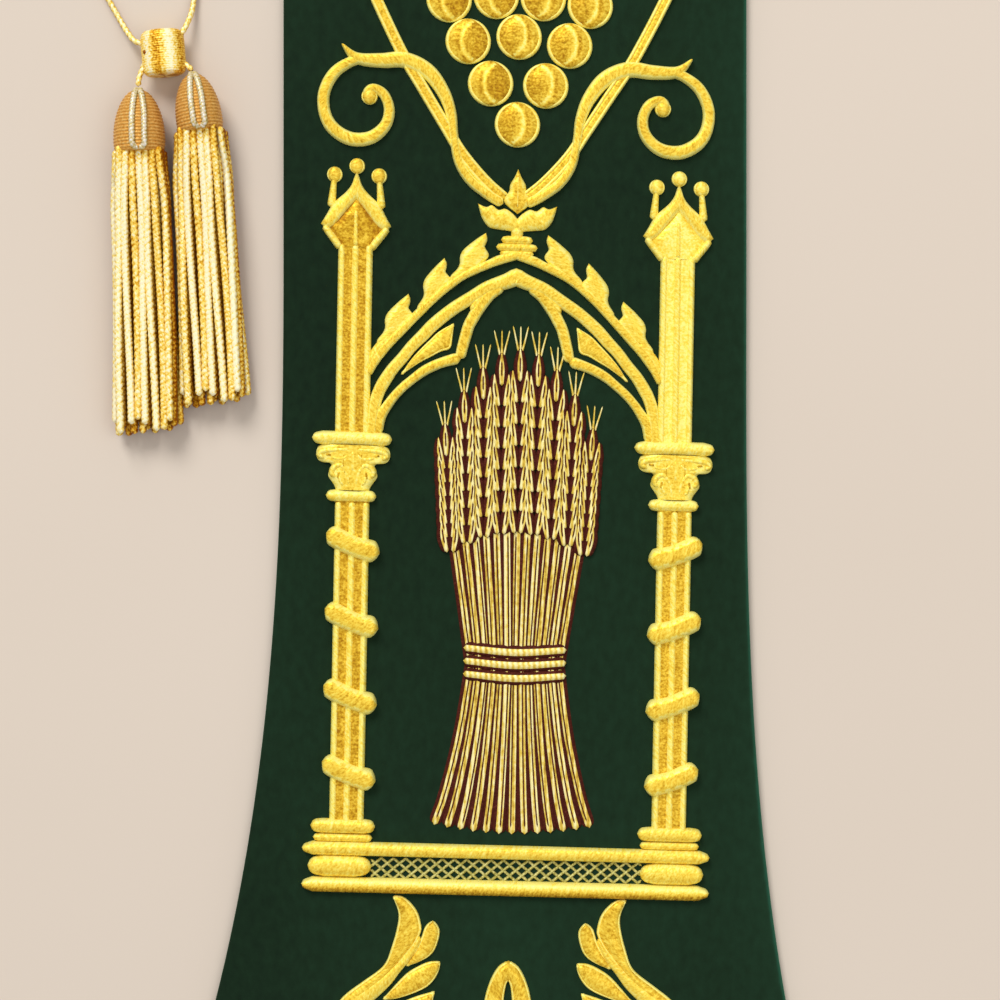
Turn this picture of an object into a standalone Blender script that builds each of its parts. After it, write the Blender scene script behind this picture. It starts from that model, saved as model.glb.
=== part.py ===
"""A clerical stole laid out flat: two embroidered velvet halves that meet in a seam at the
centre back of the neck, and the tie that joins them in front, a thin cord from each inner edge
that runs through one slider and ends in a tassel.

Metres, +Z up. The underside lies in z = 0, +Y runs from the hems to the neck, and the two halves
mirror each other in x = 0. The origin is the middle of the laid-out stole, on its underside.
The raised embroidery is drawn in millimetres in the panel's own frame: u runs across from the
panel's axis and v runs up from the middle of the lowest rail.
"""

import math

import bmesh
import bpy
from mathutils import Matrix, Vector

MM = 0.001

# Cloth.
WALL = 3.0 * MM  # velvet, interlining and backing, pressed
SEAM_GAP = 0.3 * MM
BAND_WIDTH = 125.3 * MM  # along the straight of the band
NECK_BAND_WIDTH = 105.0 * MM
NECK_RADIUS = 130.0 * MM  # of the band's centre line round the back of the neck
HEM_TO_NECK = 1060.0 * MM
STRAIGHT_CENTRE_X = 120.15 * MM  # centre line of the straight stretch
NARROWING_FROM_HEM = 360.0 * MM  # above this the band narrows towards the neck

# Flare towards the hem, measured down from where it starts.
FLARE_LENGTH = 283.5 * MM
FLARE_CURVED = 202.5 * MM  # the sides curve over this much, then run straight
FLARE_CUBIC = 3.48  # width gained, in metres, for each cubic metre of depth
FLARE_INWARD = 0.0945  # drift of the centre line, in metres, for each square metre of depth

TOTAL_LENGTH = HEM_TO_NECK + NECK_RADIUS + NECK_BAND_WIDTH / 2
HEM_Y = -TOTAL_LENGTH / 2
NECK_Y = HEM_Y + HEM_TO_NECK
FLARE_Y = HEM_Y + FLARE_LENGTH

# Panel frame of the embroidery.
PANEL_AXIS_X = 117.45 * MM
PANEL_BASE_Y = HEM_Y + 111.0 * MM
PANEL_LEAN = 0.0185  # the axis leans outwards, mm for each mm up
ROW_DROP = 0.018  # crosswise rows drop outwards, mm for each mm across
ROW_DROP_GAIN = 0.000118  # and drop more, for each mm up
EMBROIDERY_SINK = 1.0 * MM  # each raised form is widest this far below the wall's outer face
BACK_SHARE = 0.25  # of a form's rise that it reaches on down, so that it stays inside the wall

# Columns of the niche, half of which is drawn and mirrored.
COLUMN_U = 43.5
SHAFT_WIDTH = 9.4
SHAFT_RIB = 1.9
PLINTH_U = 44.8
BASE_RING_U = 44.1
RAIL_HALF = 55.0
WINDING_HALF_U = 5.1
WINDING_HALF_V = 1.7
WINDING_THICK = 5.2
BALL_SIZE = 4.1

# How far each kind of embroidery stands proud of the cloth, in mm.
RAISED = {
    "shaft": 1.0, "shaft_rib": 1.7, "winding": 3.2, "capital": 1.9, "pinnacle": 1.6, "ball": 1.6,
    "pin": 1.2, "arch_band": 1.7, "cusp": 1.5, "spandrel_leaf": 1.2, "crocket": 1.5,
    "finial_cup": 1.6, "finial_flame": 2.0, "grape": 2.4, "stalk": 1.5, "stem": 1.5,
    "scroll": 2.1, "tendril": 1.9, "leaf": 1.6, "palmette_stem": 1.7, "almond": 1.7,
}
GRAPE_SIZE = 12.0

# Tie.
CORD_SIZE = 1.5 * MM
CORD_GAP = 0.6 * MM  # between a cord's end and the edge that it is sewn to
TIE_FROM_HEM = 586.0 * MM
TIE_DATUM_Y = HEM_Y + 351.0 * MM  # just above the slider, for the tie's own tables
CORD_POINTS = 26
SLIDER_HALF = 6.2 * MM
SLIDER_RADIUS = 5.9 * MM
SLIDER_FLATTENING = 0.72  # its thickness as a share of its width
SLIDER_SQUARENESS = 0.35  # power of its rounded profile: 1 is an ellipse, 0 is a cylinder
TASSEL_FLATTENING = 0.86
TURNED_SIDES = 12  # of the slider and of the tassels' heads
HEAD_LENGTH = 15.6
STRAND_SIZE = 1.7

# Rounded strokes laid from end to end across the panel: v, distance of their middle from the
# axis, half length, thickness, height, width of the ends as a share of the middle.
#        v      u           half       thick height ends
CROSS_BARS = (
    (0.0, 0.0, RAIL_HALF, 4.2, 2.4, 0.45),
    (9.7, 0.0, RAIL_HALF, 3.8, 2.4, 0.45),
    (5.0, PLINTH_U, 8.6, 5.9, 2.7, 0.70),
    (12.6, BASE_RING_U, 8.0, 2.2, 1.6, 0.70),
    (15.7, BASE_RING_U, 8.7, 4.0, 2.2, 0.70),
    (104.8, COLUMN_U, 7.0, 3.3, 2.2, 0.45),
    (120.2, COLUMN_U, 11.0, 3.9, 2.4, 0.45),
    (171.6, 0.0, 4.6, 1.3, 1.4, 0.60),
    (173.0, 0.0, 5.5, 1.8, 1.8, 0.60),
    (174.9, 0.0, 4.3, 1.9, 1.8, 0.60),
)

# Shafts: v at the foot and at the top.
SHAFTS = ((16.0, 103.5), (121.0, 172.5))
RIB_INSET = 0.4  # of each rib's ends from the shaft's

# Windings round the lower shafts: their heights, and one winding's line from its outer end to its
# inner one as a share of its half width, with how far it bends up there and its thickness as a
# share of the table's.
WINDING_V = (30.2, 50.6, 71.2, 91.5)
WINDING_LINE = (
    (-1.42, 0.7, 0.75), (-1.0, 0.55, 1.08), (0.0, -0.05, 1.10), (0.9, 0.15, 1.15), (1.42, 0.5, 0.75),
)

# Outlines of one half, top to bottom, in u from the column's axis or from the panel's axis.
CAPITAL = (
    (9.7, 118.0), (10.2, 116.7), (10.2, 115.4), (9.6, 114.2), (8.2, 113.6), (6.6, 113.5),
    (6.0, 112.8), (6.6, 111.5), (6.8, 110.2), (6.1, 108.7), (5.0, 107.2), (4.6, 106.3),
)
PINNACLE = (
    (0.0, 192.0), (0.7, 190.2), (1.4, 188.2), (2.9, 186.3), (6.2, 183.2), (8.1, 180.0),
    (9.5, 177.5), (8.0, 175.6), (4.9, 171.6),
)
FINIAL_CUP = (
    (0.0, 181.6), (1.5, 182.4), (3.3, 183.6), (5.1, 183.2), (6.9, 184.4), (8.4, 183.8),
    (10.7, 184.6), (10.1, 182.2), (9.3, 180.2), (7.6, 178.3), (4.4, 177.8), (1.7, 177.3),
    (2.1, 175.2),
)
FINIAL_FLAME = (
    (0.0, 194.3), (1.1, 191.9), (2.2, 190.0), (2.7, 188.0), (4.0, 186.3), (4.1, 184.9), (0.0, 182.0),
)

# Balls on the pinnacles: distance from the column's axis, v. A pin slants down from the outer two.
BALLS = ((0.0, 193.4), (-6.0, 190.9), (6.0, 190.9))
PIN_DROP = 9.0
PIN_SPREAD = 1.13  # the pin's foot is this much further out than its ball
PIN_WIDTHS = (1.8, 2.2)

# Pointed arch, one side, from its apex to the column: u, v, width; then the cusp and the lower arc
# that carries it.
OUTER_BAND = (
    (0.0, 171.0, 2.3), (4.5, 169.7, 2.6), (12.5, 166.0, 2.2), (16.0, 163.8, 2.1), (21.3, 159.4, 2.2),
    (26.6, 154.1, 2.4), (31.1, 149.3, 2.5), (34.3, 145.0, 2.6), (36.4, 141.5, 2.6), (38.4, 137.0, 2.4),
)
INNER_BAND = (
    (0.0, 165.2, 4.8), (2.5, 164.2, 4.3), (6.0, 162.7, 3.9), (11.7, 159.6, 3.6), (16.9, 156.0, 3.5),
    (21.9, 151.8, 3.5), (27.8, 145.6, 3.2), (32.9, 139.3, 3.3), (36.4, 133.6, 3.5), (37.8, 131.0, 3.2),
)
CUSP = (
    (5.1, 161.6, 3.0), (7.1, 160.2, 3.3), (8.9, 157.9, 3.3), (10.4, 155.7, 3.3), (12.5, 151.8, 3.2),
    (13.8, 147.2, 3.1), (14.9, 142.9, 2.8),
)
CUSP_ARC = (
    (15.0, 142.5, 2.8), (19.7, 141.4, 2.8), (24.8, 138.8, 2.7), (29.9, 134.6, 2.5), (34.3, 129.2, 2.7),
    (36.2, 126.2, 3.0), (37.0, 122.7, 3.1),
)
SPANDREL_LEAF = (
    (16.6, 152.1), (17.0, 148.4), (17.5, 145.4), (19.7, 144.6), (25.6, 141.3), (30.6, 137.8),
    (28.3, 141.5), (25.9, 144.4), (20.5, 149.8),
)

# Flame leaves on the arch: u, v and turn in degrees of the tip, and the outline from the tip.
CROCKET_TIPS = ((8.4, 176.8, 10.0), (19.5, 169.6, 0.0), (29.0, 159.6, 5.0))
CROCKET = (
    (0.0, 0.0), (1.8, -1.7), (3.7, -3.8), (5.2, -5.8), (5.7, -7.7), (5.4, -9.6), (5.8, -11.2),
    (7.2, -13.6), (6.4, -15.2), (3.4, -12.6), (0.4, -9.4), (-1.8, -6.9), (-1.8, -5.3), (-0.5, -3.9),
    (-0.7, -1.4),
)

# Grape rows: v, how many, spacing, and how much higher the middle of the row sits.
GRAPE_ROWS = (
    (206.3, 1, 0.0, 0.0),
    (217.1, 2, 14.9, 0.0),
    (228.2, 3, 13.7, 1.8),
    (239.2, 4, 12.7, 2.2),
)

# Vines, one side: u, v, width. The stem closes over the grapes; the scroll twists round it.
VINE_SHIFT = -0.9
VINE_STEM = (
    (1.5, 262.0, 2.4), (8.0, 269.0, 2.7), (20.0, 273.0, 2.7), (34.0, 269.5, 2.7),
    (42.5, 260.0, 2.7), (42.5, 249.0, 2.7), (38.9, 240.0, 2.6), (31.4, 225.0, 2.6),
    (25.2, 215.0, 2.7), (18.9, 205.0, 2.8), (14.4, 198.0, 2.8), (8.0, 190.8, 2.8),
    (2.6, 186.2, 2.6),
)
VINE_SCROLL = (
    (47.4, 226.0, 0.5), (43.2, 222.4, 3.0), (36.6, 222.0, 4.0), (30.2, 222.4, 4.4),
    (24.0, 219.5, 4.5), (20.0, 214.0, 4.3), (17.7, 208.5, 4.1), (16.8, 203.0, 3.6),
    (15.6, 196.0, 3.3), (12.5, 191.0, 3.2), (7.7, 187.4, 3.0), (3.0, 184.8, 2.8),
)
TENDRIL = (
    (40.5, 222.3, 2.2), (45.0, 221.2, 2.8), (49.4, 217.9, 3.2), (51.9, 212.5, 3.3),
    (51.5, 207.0, 3.4), (49.0, 203.0, 3.7), (44.3, 200.6, 3.8), (39.0, 201.2, 3.6),
    (35.2, 204.6, 3.2), (34.2, 209.0, 3.0), (35.8, 213.0, 2.8), (38.9, 214.4, 2.6),
    (40.6, 211.9, 3.6),
)
STALK = ((0.0, 265.0, 3.4), (0.0, 256.0, 2.8), (0.0, 246.0, 2.2))

# Palmette under the panel, one side, outlines from the leaf's tip.
PALMETTE_SHIFT = 1.3
LEAVES = (
    (
        (31.5, -2.5), (29.8, -7.3), (30.4, -12.1), (31.8, -17.0), (34.6, -22.4), (39.4, -25.8),
        (47.0, -31.5), (44.0, -38.0), (36.0, -32.0), (31.0, -26.0), (26.6, -21.0), (23.9, -16.0),
        (23.6, -11.2), (24.7, -6.9), (26.6, -4.3), (29.1, -2.5),
    ),
    (
        (20.6, -8.9), (22.6, -10.6), (23.9, -14.2), (27.6, -21.2), (23.9, -19.8), (20.9, -17.9),
        (19.4, -15.2), (18.8, -11.4),
    ),
    (
        (18.5, -19.9), (21.7, -20.1), (25.5, -21.9), (28.6, -24.6), (33.7, -30.2), (30.4, -30.0),
        (25.9, -28.6), (22.1, -26.8), (20.0, -24.7), (18.8, -22.2),
    ),
    ((19.8, -27.8), (25.8, -29.8), (33.0, -33.0), (41.0, -38.4), (30.0, -38.0), (22.0, -34.8)),
)
PALMETTE_STEM = (
    (44.0, -34.0, 4.4), (49.0, -43.0, 4.4), (48.0, -54.0, 4.0), (40.0, -65.0, 3.7),
    (27.0, -73.0, 3.4), (12.0, -77.0, 3.0), (0.0, -81.0, 1.6),
)
ALMOND = ((0.0, -19.6), (3.4, -24.5), (5.0, -31.0), (4.6, -38.5), (2.6, -45.5), (0.0, -50.5))
ALMOND_THICK = 4.2

# Tie cords, from the slider up: x, y over the datum and z, in mm. The code adds the last points,
# at the band's edge.
RIGHT_CORD = (
    (31.3, -7.5, 3.9), (32.6, -3.6, 2.3), (33.3, 1.0, 1.3), (35.0, 16.0, 0.9),
    (42.5, 50.0, 0.9), (49.0, 95.0, 0.9), (51.5, 145.0, 0.9), (54.5, 190.0, 0.9),
)
LEFT_CORD = (
    (17.9, -11.4, 4.1), (16.4, -9.9, 3.4), (13.0, -4.6, 1.4), (5.0, 10.0, 0.9),
    (-10.0, 40.0, 0.9), (-27.0, 80.0, 0.9), (-42.0, 128.0, 0.9), (-51.5, 182.0, 0.9),
)
CORD_EXIT = (4.0, -1.0)  # first step of a cord out of its edge: across, then along, in mm
SLIDER_AT = (25.4, -14.6, 4.5)
SLIDER_LEAN = 5.0  # degrees
DROPS = (
    ("drop_left", ((19.6, -19.9, 4.6), (19.0, -21.7, 5.2), (18.9, -23.6, 6.1))),
    ("drop_right", ((32.2, -18.3, 4.9), (32.8, -18.8, 5.5), (33.4, -19.4, 6.1))),
)
# Tassels: x, y of the head's foot, how far the head and the skirt lean outwards in degrees, the
# head's width as a share of its profile's, lengths of the head and the skirt.
TASSELS = (
    ("tassel_left", 19.3, -40.2, 1.3, 1.3, 0.97, 15.6, 76.0),
    ("tassel_right", 35.6, -34.6, 8.0, 2.8, 0.87, 14.4, 74.0),
)
# A head's radius and height over its foot.
HEAD_PROFILE = (
    (6.0, -1.4), (7.0, 0.0), (7.1, 2.4), (6.9, 5.4), (6.2, 8.6), (5.0, 11.6), (3.3, 14.0),
    (1.2, 15.4),
)
# Skirt: strands in each layer, height of the layer at the head and where it lies, in mm.
SKIRT_LAYERS = ((7, 2.9, 1.3), (8, 5.2, 3.4), (8, 7.5, 5.5), (7, 9.8, 7.6))
STRAND_STEPS = (0.0, 0.1, 0.22, 0.6, 1.0)  # a strand's points, as shares of its length
ROOT_PITCH = 1.72
SPREAD_PITCH = 2.0  # reached by the third of those points
HEM_PITCH = 2.3
STRAND_ROOT = 1.0  # how far a strand starts inside the head
HEM_SLOPE = 0.25  # each strand is this much shorter than the one on its left
HEM_UNEVEN = 2.0


def smooth_step(t):
    t = min(max(t, 0.0), 1.0)
    return t * t * (3 - 2 * t)


def smooth(rows, steps):
    """Catmull-Rom curve through the rows, any number of columns, with steps points a stretch."""
    rows = [Vector(row) for row in rows]
    padded = [2 * rows[0] - rows[1], *rows, 2 * rows[-1] - rows[-2]]
    found = []
    for a, b, c, d in zip(padded, padded[1:], padded[2:], padded[3:]):
        for step in range(steps):
            t = step / steps
            found.append(
                0.5 * (2 * b + (c - a) * t + (2 * a - 5 * b + 4 * c - d) * t**2
                       + (3 * b - a - 3 * c + d) * t**3)
            )
    return found + [rows[-1]]


def respaced(points, count):
    """The same line as points, with count points along it, closest together at its ends."""
    lengths = [0.0]
    for a, b in zip(points, points[1:]):
        lengths.append(lengths[-1] + (b - a).length)
    found = []
    leg = 0
    for n in range(count):
        want = lengths[-1] * smooth_step(n / (count - 1))
        while leg < len(points) - 2 and lengths[leg + 1] < want:
            leg += 1
        share = (want - lengths[leg]) / (lengths[leg + 1] - lengths[leg])
        found.append(points[leg].lerp(points[leg + 1], share))
    return found


# ---------------------------------------------------------------- scene and materials


def clear_scene():
    for obj in list(bpy.data.objects):
        bpy.data.objects.remove(obj)


def collection(name):
    made = bpy.data.collections.new(name)
    bpy.context.scene.collection.children.link(made)
    return made


def material(name, colour, roughness, metallic):
    made = bpy.data.materials.new(name)
    made.use_nodes = True
    shader = made.node_tree.nodes["Principled BSDF"]
    shader.inputs["Base Color"].default_value = (*colour, 1.0)
    shader.inputs["Roughness"].default_value = roughness
    shader.inputs["Metallic"].default_value = metallic
    return made


def as_mesh(curve_obj, into):
    """The curve object's closed mesh as a new object, with the curve removed."""
    bpy.context.view_layer.update()
    graph = bpy.context.evaluated_depsgraph_get()
    name = curve_obj.name
    mesh = bpy.data.meshes.new_from_object(curve_obj.evaluated_get(graph))
    work = bmesh.new()
    work.from_mesh(mesh)
    bmesh.ops.remove_doubles(work, verts=work.verts, dist=1e-6)
    work.to_mesh(mesh)
    work.free()
    made = bpy.data.objects.new(name, mesh)
    made.matrix_world = curve_obj.matrix_world.copy()
    bpy.data.objects.remove(curve_obj)
    made.name = name
    into.objects.link(made)
    return made


def curve_object(name, dimensions, points, closed=False):
    """A poly curve object through points of x, y, z or x, y, z, radius."""
    curve = bpy.data.curves.new(name, "CURVE")
    curve.dimensions = dimensions
    spline = curve.splines.new("POLY")
    spline.points.add(len(points) - 1)
    for point, row in zip(spline.points, points):
        point.co = (row[0], row[1], row[2], 1.0)
        point.radius = row[3] if len(row) > 3 else 1.0
    spline.use_cyclic_u = closed
    obj = bpy.data.objects.new(name, curve)
    bpy.context.scene.collection.objects.link(obj)
    return obj


def tube(name, points, diameter, resolution):
    """A round tube with filled ends along points, whose fourth column scales the diameter."""
    obj = curve_object(name, "3D", points)
    obj.data.bevel_depth = diameter / 2
    obj.data.bevel_resolution = resolution
    obj.data.use_fill_caps = True
    return obj


# ---------------------------------------------------------------- band


def band_centre(y):
    """Distance of the band's centre line from the stole's own, at height y."""
    depth = FLARE_Y - y
    if depth > 0:
        curved = min(depth, FLARE_CURVED)
        straight = depth - curved
        return STRAIGHT_CENTRE_X - FLARE_INWARD * curved * (curved + 2 * straight)
    rise = (y - HEM_Y - NARROWING_FROM_HEM) / (HEM_TO_NECK - NARROWING_FROM_HEM)
    return STRAIGHT_CENTRE_X + (NECK_RADIUS - STRAIGHT_CENTRE_X) * smooth_step(rise)


def band_width(y):
    depth = FLARE_Y - y
    if depth > 0:
        curved = min(depth, FLARE_CURVED)
        straight = depth - curved
        return BAND_WIDTH + FLARE_CUBIC * curved**2 * (curved + 3 * straight)
    rise = (y - HEM_Y - NARROWING_FROM_HEM) / (HEM_TO_NECK - NARROWING_FROM_HEM)
    return BAND_WIDTH + (NECK_BAND_WIDTH - BAND_WIDTH) * smooth_step(rise)


def band_heights():
    """Heights of the side points: close where the sides curve, wide where they run straight."""
    flare_steps, upper_steps = 8, 9
    flare_end = FLARE_Y - FLARE_CURVED
    flare = [flare_end + FLARE_CURVED * n / flare_steps for n in range(flare_steps + 1)]
    start = HEM_Y + NARROWING_FROM_HEM
    upper = [start + (NECK_Y - start) * n / upper_steps for n in range(upper_steps + 1)]
    return [HEM_Y, *flare, *upper]


def neck_arc(radius, steps=12):
    """From the side of the neck to the centre-back seam."""
    end = math.acos(SEAM_GAP / 2 / radius)
    return [
        (radius * math.cos(end * n / steps), NECK_Y + radius * math.sin(end * n / steps))
        for n in range(1, steps + 1)
    ]


def band_outline():
    heights = band_heights()
    inner = [(band_centre(y) - band_width(y) / 2, y) for y in heights]
    outer = [(band_centre(y) + band_width(y) / 2, y) for y in heights]
    inner += neck_arc(NECK_RADIUS - NECK_BAND_WIDTH / 2)
    outer += neck_arc(NECK_RADIUS + NECK_BAND_WIDTH / 2)
    return outer + inner[::-1]


def band_wall(into):
    """The flat wall of the right half, plain on both faces."""
    outline = [(x, y, 0.0) for x, y in band_outline()]
    obj = curve_object("wall", "2D", outline, closed=True)
    obj.data.fill_mode = "BOTH"
    obj.data.extrude = WALL / 2
    obj.location.z = WALL / 2
    return as_mesh(obj, into)


# ---------------------------------------------------------------- embroidery


def on_panel(u, v):
    """A point of the embroidery, in metres on the right half."""
    x = PANEL_AXIS_X + (u + PANEL_LEAN * v) * MM
    y = PANEL_BASE_Y + (v - (ROW_DROP + ROW_DROP_GAIN * v) * u) * MM
    return x, y


def set_into_wall(obj):
    """Flattens the hidden back of a form whose own z = 0 is where it is widest, and puts it in
    the wall."""
    for vertex in obj.data.vertices:
        if vertex.co.z < 0:
            vertex.co.z *= BACK_SHARE
    obj.location.z = WALL - EMBROIDERY_SINK
    return obj


def cordwork(name, rows, into, height=None, resolution=1):
    """A padded, rounded stroke through rows of u, v, width; it stands height mm proud where
    it is widest."""
    height = height or RAISED[name]
    widest = max(row[2] for row in rows)
    points = [(*on_panel(u, v), 0.0, width / widest) for u, v, width in rows]
    obj = as_mesh(tube(name, points, widest * MM, resolution), into)
    rise = (height * MM + EMBROIDERY_SINK) / (widest * MM / 2)
    obj.data.transform(Matrix.Diagonal((1.0, 1.0, rise, 1.0)))
    return set_into_wall(obj)


def padding(name, outline, into):
    """A flat-topped pad over an outline of u, v."""
    thick = RAISED[name] * MM + EMBROIDERY_SINK
    obj = curve_object(name, "2D", [(*on_panel(u, v), 0.0) for u, v in outline], closed=True)
    obj.data.fill_mode = "BOTH"
    obj.data.extrude = thick / 2
    obj.location.z = WALL - EMBROIDERY_SINK + thick / 2
    return as_mesh(obj, into)


def knob(name, u, v, size, segments, into):
    """A low dome, size mm across."""
    mesh = bpy.data.meshes.new(name)
    work = bmesh.new()
    bmesh.ops.create_uvsphere(work, u_segments=segments, v_segments=6, radius=size * MM / 2)
    rise = (RAISED[name] * MM + EMBROIDERY_SINK) / (size * MM / 2)
    place = Matrix.LocRotScale(Vector((*on_panel(u, v), 0.0)), None, Vector((1.0, 1.0, rise)))
    bmesh.ops.transform(work, matrix=place, verts=work.verts)
    work.to_mesh(mesh)
    work.free()
    obj = bpy.data.objects.new(name, mesh)
    into.objects.link(obj)
    return set_into_wall(obj)


def both_sides(outline, shift=0.0):
    """A half outline closed with its own mirror image about u = shift."""
    right = [(shift + u, v) for u, v in outline]
    left = [(shift - u, v) for u, v in reversed(outline) if u > 0]
    return right + left


def embroider_bars(into):
    for row, (v, middle, half, thick, height, ends) in enumerate(CROSS_BARS):
        places = (middle,) if middle == 0 else (-middle, middle)
        taper = min(thick, half / 2)
        for u in places:
            rows = (
                (u - half, v, thick * ends), (u - half + taper, v, thick),
                (u + half - taper, v, thick), (u + half, v, thick * ends),
            )
            cordwork(f"bar_{row}", rows, into, height)


def embroider_shaft(axis, foot, top, into):
    half = SHAFT_WIDTH / 2
    core = ((axis - half, foot), (axis + half, foot), (axis + half, top), (axis - half, top))
    padding("shaft", core, into)
    outer = half - SHAFT_RIB / 2
    for u in (axis - outer, axis, axis + outer):
        ends = ((u, foot + RIB_INSET, SHAFT_RIB), (u, top - RIB_INSET, SHAFT_RIB))
        cordwork("shaft_rib", ends, into)


def embroider_winding(axis, side, v, into):
    rows = [
        (axis - side * t * WINDING_HALF_U, v - t * WINDING_HALF_V + bend, WINDING_THICK * share)
        for t, bend, share in WINDING_LINE
    ]
    cordwork("winding", rows, into, resolution=2)


def embroider_columns(into):
    for side in (-1, 1):
        axis = side * COLUMN_U
        for foot, top in SHAFTS:
            embroider_shaft(axis, foot, top, into)
        for v in WINDING_V:
            embroider_winding(axis, side, v, into)
        padding("capital", both_sides(CAPITAL, axis), into)
        padding("pinnacle", both_sides(PINNACLE, axis), into)
        for offset, v in BALLS:
            knob("ball", axis + offset, v, BALL_SIZE, 8, into)
            if offset:
                head, foot = PIN_WIDTHS
                pin = ((axis + offset, v, head), (axis + PIN_SPREAD * offset, v - PIN_DROP, foot))
                cordwork("pin", pin, into)


def embroider_arch(into):
    for half in (OUTER_BAND, INNER_BAND):
        rows = [(-u, v, width) for u, v, width in half[:0:-1]] + list(half)
        cordwork("arch_band", rows, into)
    for side in (-1, 1):
        for part in (CUSP, CUSP_ARC):
            cordwork("cusp", [(side * u, v, width) for u, v, width in part], into)
        padding("spandrel_leaf", [(side * u, v) for u, v in SPANDREL_LEAF], into)
        for tip_u, tip_v, degrees in CROCKET_TIPS:
            turn = Matrix.Rotation(math.radians(degrees), 2)
            leaf = [turn @ Vector(point) + Vector((tip_u, tip_v)) for point in CROCKET]
            padding("crocket", [(side * u, v) for u, v in leaf], into)
    padding("finial_cup", both_sides(FINIAL_CUP), into)
    padding("finial_flame", both_sides(FINIAL_FLAME), into)


def embroider_vine(into):
    for v, count, spacing, bow in GRAPE_ROWS:
        for n in range(count):
            across = n - (count - 1) / 2
            edge = abs(across) / max((count - 1) / 2, 1)
            place = (VINE_SHIFT / 2 + across * spacing, v + bow * (1 - edge))
            knob("grape", *place, GRAPE_SIZE, 11, into)
    cordwork("stalk", STALK, into)
    for side in (-1, 1):
        for name, rows in (
            ("stem", smooth(VINE_STEM, 2)), ("scroll", VINE_SCROLL), ("tendril", TENDRIL),
        ):
            line = [(VINE_SHIFT + side * u, v, width) for u, v, width in rows]
            cordwork(name, line, into)


def embroider_palmette(into):
    for side in (-1, 1):
        for leaf in LEAVES:
            padding("leaf", [(PALMETTE_SHIFT + side * u, v) for u, v in leaf], into)
        line = [(PALMETTE_SHIFT + side * u, v, width) for u, v, width in PALMETTE_STEM]
        cordwork("palmette_stem", line, into)
        edge = [(PALMETTE_SHIFT + side * u, v, ALMOND_THICK) for u, v in ALMOND]
        cordwork("almond", edge, into)


def make_halves(parts, forms, velvet):
    """The two halves share one mesh: the wall with its raised embroidery, and its mirror."""
    embroider_bars(forms)
    embroider_columns(forms)
    embroider_arch(forms)
    embroider_vine(forms)
    embroider_palmette(forms)
    for form in forms.objects:
        form.hide_render = True
        form.display_type = "WIRE"
    wall = band_wall(bpy.context.scene.collection)
    union = wall.modifiers.new("embroidery", "BOOLEAN")
    union.operation = "UNION"
    union.operand_type = "COLLECTION"
    union.collection = forms
    bpy.context.view_layer.update()
    graph = bpy.context.evaluated_depsgraph_get()
    mesh = bpy.data.meshes.new_from_object(wall.evaluated_get(graph))
    mesh.transform(wall.matrix_world)
    bpy.data.objects.remove(wall)
    mesh.name = "stole_half"
    mesh.materials.clear()
    mesh.materials.append(velvet)
    for name, across in (("stole_right", 1.0), ("stole_left", -1.0)):
        half = bpy.data.objects.new(name, mesh)
        half.scale.x = across
        parts.objects.link(half)


# ---------------------------------------------------------------- tie


def tie_point(x, y, z):
    return Vector((x * MM, TIE_DATUM_Y + y * MM, z * MM))


def lathe(name, profile, into):
    """A solid turned about the Y axis from rows of radius and height."""
    mesh = bpy.data.meshes.new(name)
    work = bmesh.new()
    line = [work.verts.new((radius, along, 0.0)) for radius, along in profile]
    edges = [work.edges.new(pair) for pair in zip(line, line[1:])]
    bmesh.ops.spin(
        work, geom=line + edges, cent=(0, 0, 0), axis=(0, 1, 0), angle=2 * math.pi,
        steps=TURNED_SIDES, use_merge=True,
    )
    bmesh.ops.remove_doubles(work, verts=work.verts, dist=1e-6)
    bmesh.ops.holes_fill(work, edges=[edge for edge in work.edges if edge.is_boundary], sides=0)
    bmesh.ops.recalc_face_normals(work, faces=work.faces)
    work.to_mesh(mesh)
    work.free()
    obj = bpy.data.objects.new(name, mesh)
    into.objects.link(obj)
    return obj


def edge_exit(side):
    """Where a tie cord leaves the inner edge of its band, and its first step away from it."""
    y = HEM_Y + TIE_FROM_HEM
    edge = band_centre(y) - band_width(y) / 2
    out, along = CORD_EXIT
    start = Vector((side * (edge - CORD_GAP), y, WALL / 2))
    return start, start + Vector((-side * out * MM, along * MM, -0.4 * MM))


def make_cord(name, side, route, parts, gold):
    start, step = edge_exit(side)
    line = [tie_point(*row) for row in route] + [step, start]
    obj = tube(name, respaced(smooth(line, 8), CORD_POINTS), CORD_SIZE, 2)
    obj = as_mesh(obj, parts)
    obj.data.materials.append(gold)


def make_slider(parts, gold):
    """A short barrel of wound thread, its ends nearly flat, flattened where it lies."""
    steps = 8
    profile = []
    for n in range(steps + 1):
        angle = math.pi * (n / steps - 0.5)
        along = math.copysign(abs(math.sin(angle)) ** SLIDER_SQUARENESS, math.sin(angle))
        radius = SLIDER_RADIUS * math.cos(angle) ** SLIDER_SQUARENESS
        profile.append((radius, SLIDER_HALF * along))
    obj = lathe("slider", profile, parts)
    obj.data.transform(Matrix.Diagonal((1.0, 1.0, SLIDER_FLATTENING, 1.0)))
    obj.location = tie_point(*SLIDER_AT)
    obj.rotation_euler.z = math.radians(SLIDER_LEAN)
    obj.data.materials.append(gold)


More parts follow.
